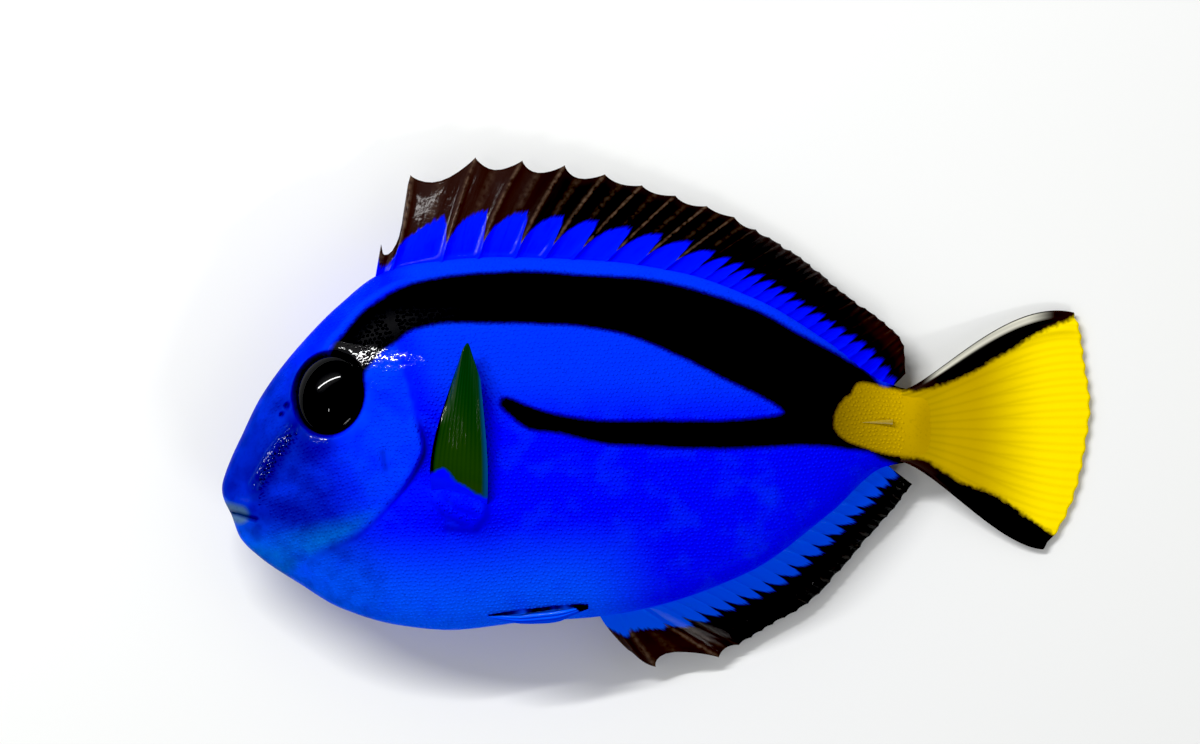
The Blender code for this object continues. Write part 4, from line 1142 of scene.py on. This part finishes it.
def median_fin(fins, fin, outline, along, out, face):
    """The dorsal or the anal fin: places, and numbers for its material."""
    lines = {name: smooth_line(table) for name, table in fin.items() if isinstance(table, list)}
    number = crowded(fin["first"] + along * (fin["rays"] - 1 - fin["first"]))
    root_station = lines["root"](number)
    edge = outline(root_station)
    start_height = edge - np.sign(edge) * ROOT_SUNK
    end_station, end_height = lines["tip_station"](number), lines["tip_height"](number)
    reach = np.hypot(end_station - root_station, end_height - start_height)
    share = number % 1
    uneven = 1 + 0.5 * np.sin(2.4 * np.floor(number)) * smooth_step(number, 4, 10)
    dip = lines["scallop"](np.floor(number)) * uneven * np.sin(np.pi * share) ** 0.8
    trimmed = out * (1 - np.where(number < fin["rays"] - 1, dip, 0) / reach)
    station = root_station + (end_station - root_station) * trimmed
    height = start_height + (end_height - start_height) * trimmed
    station = station + lines["bow"](number) * np.sin(np.pi * trimmed)
    cell = np.abs(lines["root"](number + 0.5) - lines["root"](number - 0.5)) * (1 + 0.3 * out)
    from_ray = np.abs(number - np.round(number)) * cell
    spiny = 1 - smooth_step(number, fin["spines"], fin["spines"] + 0.6)
    peak = (fins.ray + (fins.spine - fins.ray) * spiny) / MM
    membrane = fins.membrane / MM
    width = 0.12 + 0.05 * spiny
    half = membrane + (peak - membrane) * (1 - 0.6 * out) * ridge(from_ray, width)
    foot = 1 - smooth_step(out, 0, ROOT_REACH)
    half = half + (MEDIAN_ROOT_HALF - membrane) * foot
    half = half * (1 - 0.55 * smooth_step(out, 0.85, 1))
    ruffle = 0.06 * smooth_step(out, 0.6, 1) * np.sin(2 * np.pi * number * 1.5 + 3 * out)
    droop = lines["sag"](number) * trimmed ** fin["bend"]
    level = middle_plane(root_station) - droop + ruffle + face * half
    rise = np.sin(np.pi / 2 * np.clip(share / 0.6, 0, 1)) ** 0.65 * (1 - smooth_step(share, 0.78, 1.0))
    foot_line, top_line = lines["lobe_foot"](number), lines["lobe_top"](number)
    lobe = (foot_line + (top_line - foot_line) * rise - out) * reach
    edge_brown = 0.5 * smooth_step(out, 0.86, 1)
    front_brown = 1 - smooth_step(number, 1.6, 4.0)
    rear_brown = smooth_step(number, fin["rays"] - 11, fin["rays"] - 4) * smooth_step(out, 0.5, 0.9)
    between = ridge((share - 0.5) * cell, 0.07) * smooth_step(out, 0.5, 0.65) * spiny
    margin = smooth_step(out, 0.72, 0.9) * smooth_step(number, 8, 10)
    margin = margin * (1 - smooth_step(number, 15, 19) * fin["rust"])
    root = (1 - smooth_step(out, 0.15, 0.3)) * smooth_step(number, 9, 12) * (1 - fin["rust"])
    values = {
        "lobe": lobe,
        "brown": np.maximum(np.maximum(front_brown, edge_brown * fin["rust"]), rear_brown * fin["rust"]),
        "streak": np.maximum(ridge(from_ray, 0.1) * (0.8 * spiny + 0.08), 0.25 * between),
        "fibre": np.stack([number * 2.4, 0.12 * out * reach, 0 * out], -1),
        "pale": (0.8 + 0.15 * (1 - smooth_step(number, 1, 7))) * (1 - fin["rust"]),
        "wet": 1 + 2.5 * np.maximum(margin, root),
    }
    return station, height, np.maximum(level, 0), values


class TANG_OT_median_fins(bpy.types.Operator):
    """Dorsal and anal fins: thin membranes over spines and soft rays, with a fleshy blue foot"""

    bl_idname = "tang.median_fins"
    bl_label = "Dorsal and Anal Fins"

    def execute(self, context):
        fins = context.scene.tang_fins
        for name, fin, outline in (("dorsal", DORSAL, back), ("anal", ANAL, belly)):
            cells = fin["rays"] - 1 - fin["first"]
            fin_piece(
                f"{name}_rays", f"{name}_fin", wet_rayed_fin,
                (cells * MEDIAN_COLUMNS, MEDIAN_ROWS), partial(median_fin, fins, fin, outline),
            )
        return {"FINISHED"}


def tail_fin(fins, along, out, face):
    """The tail fin, whose outer rays bend outward: places, and numbers for its material."""
    number = crowded(along * (TAIL_RAYS - 1))
    along = number / (TAIL_RAYS - 1)
    lean = 2 * along - 1
    shares = [point[0] for point in TAIL_TIP]
    end_station = smooth_line(list(zip(shares, [p[1] for p in TAIL_TIP])))(along)
    end_height = smooth_line(list(zip(shares, [p[2] for p in TAIL_TIP])))(along)
    end_station = end_station - TAIL_SCALLOP * (0.5 - 0.5 * np.cos(2 * np.pi * number))
    low, high = TAIL_ROOT_HEIGHTS
    start = np.array([TAIL_ROOT_STATION + 0 * along, low + (high - low) * along])
    end = np.array([end_station, end_height])
    outer = np.where(lean > 0, *(np.array(p)[:, :, None] for p in (TAIL_HIGH_PULL, TAIL_LOW_PULL)))
    pulls = np.array(TAIL_MIDDLE_PULL)[:, :, None]
    pulls = pulls + (outer - pulls) * lean * lean
    near = start + pulls[0]
    far = end + pulls[1] * np.array([[-1], [1]])
    station, height = (
        start * (1 - out) ** 3
        + near * 3 * out * (1 - out) ** 2
        + far * 3 * out * out * (1 - out)
        + end * out**3
    )
    cell = 0.3 + 0.8 * out
    from_ray = np.abs(number - np.round(number)) * cell
    # Each ray splits in two over its outer half
    split = smooth_step(out, 0.45, 0.75) * 0.22 * cell
    twin = np.abs(from_ray - split)
    outermost = 1 - smooth_step(np.minimum(number, TAIL_RAYS - 1 - number), 0.2, 2.0)
    membrane = fins.membrane / MM
    peak = (fins.ray / MM) * (1 + 0.5 * outermost)
    half = membrane + (peak - membrane) * (0.07 + 0.55 * outermost) * (1 - 0.6 * out) * ridge(twin, 0.14)
    # The thick upper outer ray, with a clear strip of membrane outside it
    middle_ray = TAIL_RAYS - 2.5
    half = half + 0.22 * ridge((number - middle_ray) * cell, 0.45) * smooth_step(out, 0.15, 0.4)
    foot = 1 - smooth_step(out, 0.06, 0.3)
    half = half + (TAIL_ROOT_HALF - membrane) * foot
    half = half * (1 - 0.5 * smooth_step(out, 0.9, 1))
    level = middle_plane(station) + face * half
    values = {
        "yellow": inside_by(YELLOW_OUTLINE, station, height),
        # Painted light: brighter yellow towards the thin rear, as light shining through
        "rear": smooth_step(station, 48.5, 53.5),
        "streak": ridge(twin, 0.1) * 0.25 * (1 - 0.5 * out),
        # Painted light: the clear strip is pale, as the lit floor seen through it
        "clear": smooth_step(number, TAIL_RAYS - 1.75, TAIL_RAYS - 1.5)
        * (1 - smooth_step(number, TAIL_RAYS - 1.12, TAIL_RAYS - 1.04))
        * smooth_step(station, 45.2, 46.5) * (1 - smooth_step(station, 52.0, 54.0)),
        "wet": 0.15 + 0.5 * outermost,
        "brown": np.maximum(smooth_step(station, 52.5, 55.0), 1 - smooth_step(station, 44.5, 47.5)),
    }
    return station, height, np.maximum(level, 0), values


class TANG_OT_tail_fin(bpy.types.Operator):
    """The yellow tail fin with its black outer rays"""

    bl_idname = "tang.tail_fin"
    bl_label = "Tail Fin"

    def execute(self, context):
        across, rows = TAIL_FIN_MESH
        fin_piece(
            "tail_rays", "caudal_fin", wet_tail_fin,
            ((TAIL_RAYS - 1) * across, rows), partial(tail_fin, context.scene.tang_fins),
        )
        return {"FINISHED"}


def pectoral_fin(fins, side, along, out, face):
    """A breast fin: places, and numbers for its material."""
    number = crowded(along * (PECTORAL_RAYS - 1))
    along = number / (PECTORAL_RAYS - 1)
    station, height = pectoral_outline(along, out)
    from_ray = np.abs(number - np.round(number)) * 0.25
    membrane = fins.membrane / MM
    ribs = 0.25 * smooth_step(out, 0.2, 0.5) * (1 - 0.5 * out)
    half = membrane + (fins.ray / MM - membrane) * ridge(from_ray, 0.06) * ribs
    if side > 0:
        stand = PECTORAL_STAND * smooth_step(out, 0.0, 0.3) - 0.25 * (1 - smooth_step(out, 0, 0.2))
        fold = 0.06 * smooth_step(out, 0.2, 0.6) * np.sin(2 * np.pi * (1.5 * along + 0.8 * out))
        roll = 0.4 * (1 - smooth_step(along, 0, 0.3)) * smooth_step(out, 0.5, 0.75)
        distance = stand + PECTORAL_LIFT * out**1.5 + fold - roll + face * half
        moved_station, moved_height, reach = stand_off(plain_flank, station, height, distance)
        level = MIDDLE_HEIGHT + reach
    else:
        moved_station, moved_height = station + PECTORAL_RIGHT_SHIFT, height
        level = 0.25 + face * half
    rim = smooth_step(along, 0.88, 0.98)
    inside = np.vstack([PECTORAL_SLEEVE, [(19.0, -9.0), (12.0, -9.0)]])
    values = {
        "rear": smooth_step(out, 0.25, 0.9),
        "streak": ridge(from_ray, 0.06) * 0.15,
        "rim": 0.9 * rim,
        # Painted shadow: a black line along the fin's raised front edge
        "line": (1 - smooth_step(along, 0.03, 0.09)) * (1 - smooth_step(out, 0.75, 0.95)),
        "wet": 0.2 + 0.8 * (1 - smooth_step(along, 0.2, 0.4)) * smooth_step(out, 0.5, 0.6),
        "sleeve": inside_by(inside, station, height),
    }
    return moved_station, moved_height, np.maximum(level, 0), values


class TANG_OT_pectoral_fins(bpy.types.Operator):
    """Two breast fins: the left stands up along the flank, the right lies under the body"""

    bl_idname = "tang.pectoral_fins"
    bl_label = "Breast Fins"

    def execute(self, context):
        across, rows = PECTORAL_MESH
        for name, side in SIDES:
            fin_piece(
                f"breast_fin_{name}", f"pectoral_fin_{name}", wet_leaf_fin,
                ((PECTORAL_RAYS - 1) * across, rows),
                partial(pectoral_fin, context.scene.tang_fins, side),
            )
        return {"FINISHED"}


def pelvic_fin(side, along, out, face):
    """A belly fin folded flat along the belly: places, and numbers for its material."""
    stations = [point[0] for point in PELVIC_LINE]
    station = stations[0] + (stations[-1] - stations[0]) * out
    depth = smooth_line([(point[0], point[2]) for point in PELVIC_LINE])(station)
    height = smooth_line([point[:2] for point in PELVIC_LINE])(station) + (along - 0.5) * depth
    swell = 0.5 + 0.5 * np.cos(2 * np.pi * along * (PELVIC_RAYS - 1))
    thick = (0.4 + 0.16 * swell) * (1 - 0.6 * smooth_step(out, 0.7, 1))
    thick = thick * (0.35 + 0.65 * np.sin(np.pi * along) ** 0.5) * smooth_step(out, -0.1, 0.35)
    distance = np.where(face * side > 0, 0.12 + thick, -0.1)
    moved_station, moved_height, reach = stand_off(plain_flank, station, height, distance)
    level = middle_plane(moved_station) + side * reach
    ones = np.ones(len(along))
    values = {
        "fibre": np.stack([4 * along, 0.8 * out, 0 * out], -1),
        "lobe": 2.4 * (0.92 - along) - 2.0 * smooth_step(out, 0.86, 0.95),
        "pale": 0.9 * ones,
        "brown": 0 * ones,
        "streak": 0 * ones,
        "wet": 1 + ones,
    }
    return moved_station, moved_height, np.maximum(level, 0), values


class TANG_OT_pelvic_fins(bpy.types.Operator):
    """Two narrow belly fins, folded back along the belly"""

    bl_idname = "tang.pelvic_fins"
    bl_label = "Belly Fins"

    def execute(self, context):
        across, rows = PELVIC_MESH
        for name, side in SIDES:
            fin_piece(
                f"belly_fin_{name}", f"pelvic_fin_{name}", wet_rayed_fin,
                ((PELVIC_RAYS - 1) * across, rows), partial(pelvic_fin, side),
            )
        return {"FINISHED"}


class TANG_OT_tail_spines(bpy.types.Operator):
    """The folding spine on each side of the tail stalk, its point forward"""

    bl_idname = "tang.tail_spines"
    bl_label = "Tail Spines"

    def execute(self, context):
        radius, point = TAIL_SPINE_RADII
        for name, side in SIDES:
            bm = bmesh.new()
            bmesh.ops.create_cone(
                bm, cap_ends=True, segments=24, radius1=radius * MM, radius2=point * MM,
                depth=TAIL_SPINE_LENGTH * MM,
            )
            bmesh.ops.rotate(bm, verts=bm.verts, matrix=Matrix.Rotation(-math.pi / 2, 3, "Y"))
            station, height = TAIL_SPINE_ROOT
            middle = station - TAIL_SPINE_LENGTH / 2
            level = float(middle_plane(middle)) + side * float(plain_flank(middle, height))
            slope = float(middle_plane(station) - middle_plane(station - 2)) / 2
            slope -= side * TAIL_SPINE_LEAN
            turn = Matrix.Rotation(-math.atan(slope), 3, "Y")
            bmesh.ops.rotate(bm, verts=bm.verts, matrix=turn)
            bmesh.ops.translate(bm, verts=bm.verts, vec=laid(middle, height, level))
            piece = new_piece(
                f"stalk_spine_{name}", bm, [f"tail_spine_{name}"],
                kept_material(smooth_bone),
            )
            piece.data.set_sharp_from_angle(angle=math.radians(60))
        return {"FINISHED"}


def aimed_light(name, power):
    """One of the lamps, facing the fish."""
    way, size, axis = LAMPS[name]
    data = bpy.data.lights.new(name, "AREA")
    data.shape = "RECTANGLE"
    data.size, data.size_y = size
    data.energy = power
    lamp = bpy.data.objects.new(name, data)
    bpy.context.scene.collection.objects.link(lamp)
    back_way = Vector(way).normalized()
    along = (Vector(axis) - back_way * Vector(axis).dot(back_way)).normalized()
    across = back_way.cross(along)
    turn = Matrix((along, across, back_way)).transposed()
    lamp.matrix_world = Matrix.Translation(back_way * LAMP_DISTANCE) @ turn.to_4x4()
    lamp.visible_camera = False


def soft_dome(stage):
    """World light from a ring low in the sky, dark overhead, and pale where it is seen."""
    world = bpy.data.worlds.new("soft_dome")
    bpy.context.scene.world = world
    world.use_nodes = True
    tree = world.node_tree
    shader = tree.nodes["Background"]
    way = add_node(tree, "ShaderNodeTexCoord", output="Generated")
    height = add_node(tree, "ShaderNodeSeparateXYZ", {"Vector": way}, output="Z")
    rise, fall = (
        add_node(
            tree, RANGE,
            {"Value": height, "From Min": low, "From Max": high, "To Min": below, "To Max": above},
            interpolation_type="SMOOTHSTEP",
        )
        for low, high, below, above in ((0.1, 0.3, 0.0, stage.dome), (0.72, 0.86, 1.0, 0.0))
    )
    ring = add_node(tree, MATH, {0: rise, 1: fall}, operation="MULTIPLY")
    seen = add_node(tree, "ShaderNodeLightPath", output="Is Camera Ray")
    strength = add_node(tree, MATH, {0: ring, 1: seen}, operation="MAXIMUM")
    shader.inputs["Color"].default_value = hex_colour("#f4f4f4")
    tree.links.new(strength, shader.inputs["Strength"])


class TANG_OT_stage(bpy.types.Operator):
    """Pale floor, soft light and the camera, which looks straight down"""

    bl_idname = "tang.stage"
    bl_label = "Floor, Light and Camera"

    def execute(self, context):
        stage = context.scene.tang_stage
        bm = bmesh.new()
        bmesh.ops.create_grid(bm, x_segments=8, y_segments=8, size=1.0)
        mesh = bpy.data.meshes.new("floor")
        bm.to_mesh(mesh)
        bm.free()
        floor = bpy.data.objects.new("floor", mesh)
        floor.location.z = -0.01 * MM
        mesh.materials.append(kept_material(matt_floor))
        context.scene.collection.objects.link(floor)
        soft_dome(stage)
        aimed_light("tube", stage.tube_power)
        aimed_light("low_tube", stage.low_tube_power)
        aimed_light("spot", stage.spot_power)
        data = bpy.data.cameras.new("camera")
        data.lens = stage.lens
        data.sensor_width = 36
        data.clip_start, data.clip_end = 0.01, 10
        camera = bpy.data.objects.new("camera", data)
        camera.location = (stage.camera_x, stage.camera_y, stage.camera_z)
        context.scene.collection.objects.link(camera)
        context.scene.camera = camera
        shown = context.scene.view_settings
        shown.view_transform = "Standard"
        shown.use_curve_mapping = True
        shown.curve_mapping.black_level = (stage.black_point,) * 3
        shown.curve_mapping.update()
        return {"FINISHED"}


class TANG_PT_parts(bpy.types.Panel):
    """Buttons for each piece of the fish and for its stage"""

    bl_idname = "TANG_PT_parts"
    bl_label = "Regal Blue Tang"
    bl_space_type = "VIEW_3D"
    bl_region_type = "UI"
    bl_category = "Tang"

    def draw(self, context):
        for operator in OPERATORS:
            self.layout.operator(operator.bl_idname)
        for group in ("tang_body", "tang_fins", "tang_stage"):
            values = getattr(context.scene, group)
            box = self.layout.box()
            for name in values.__annotations__:
                box.prop(values, name)


GROUPS = {"tang_body": TANG_PG_body, "tang_fins": TANG_PG_fins, "tang_stage": TANG_PG_stage}
OPERATORS = (
    TANG_OT_skin,
    TANG_OT_scales,
    TANG_OT_eyes,
    TANG_OT_median_fins,
    TANG_OT_tail_fin,
    TANG_OT_pectoral_fins,
    TANG_OT_pelvic_fins,
    TANG_OT_tail_spines,
    TANG_OT_stage,
)


def register():
    for made in (*GROUPS.values(), *OPERATORS, TANG_PT_parts):
        bpy.utils.register_class(made)
    for name, group in GROUPS.items():
        setattr(bpy.types.Scene, name, bpy.props.PointerProperty(type=group))


def unregister():
    for name in GROUPS:
        delattr(bpy.types.Scene, name)
    for made in (TANG_PT_parts, *reversed(OPERATORS), *reversed(GROUPS.values())):
        bpy.utils.unregister_class(made)


def main():
    register()
    bpy.ops.tang.skin()
    bpy.ops.tang.scales()
    bpy.ops.tang.eyes()
    bpy.ops.tang.median_fins()
    bpy.ops.tang.tail_fin()
    bpy.ops.tang.pectoral_fins()
    bpy.ops.tang.pelvic_fins()
    bpy.ops.tang.tail_spines()
    bpy.ops.tang.stage()


if __name__ == "__main__":
    main()
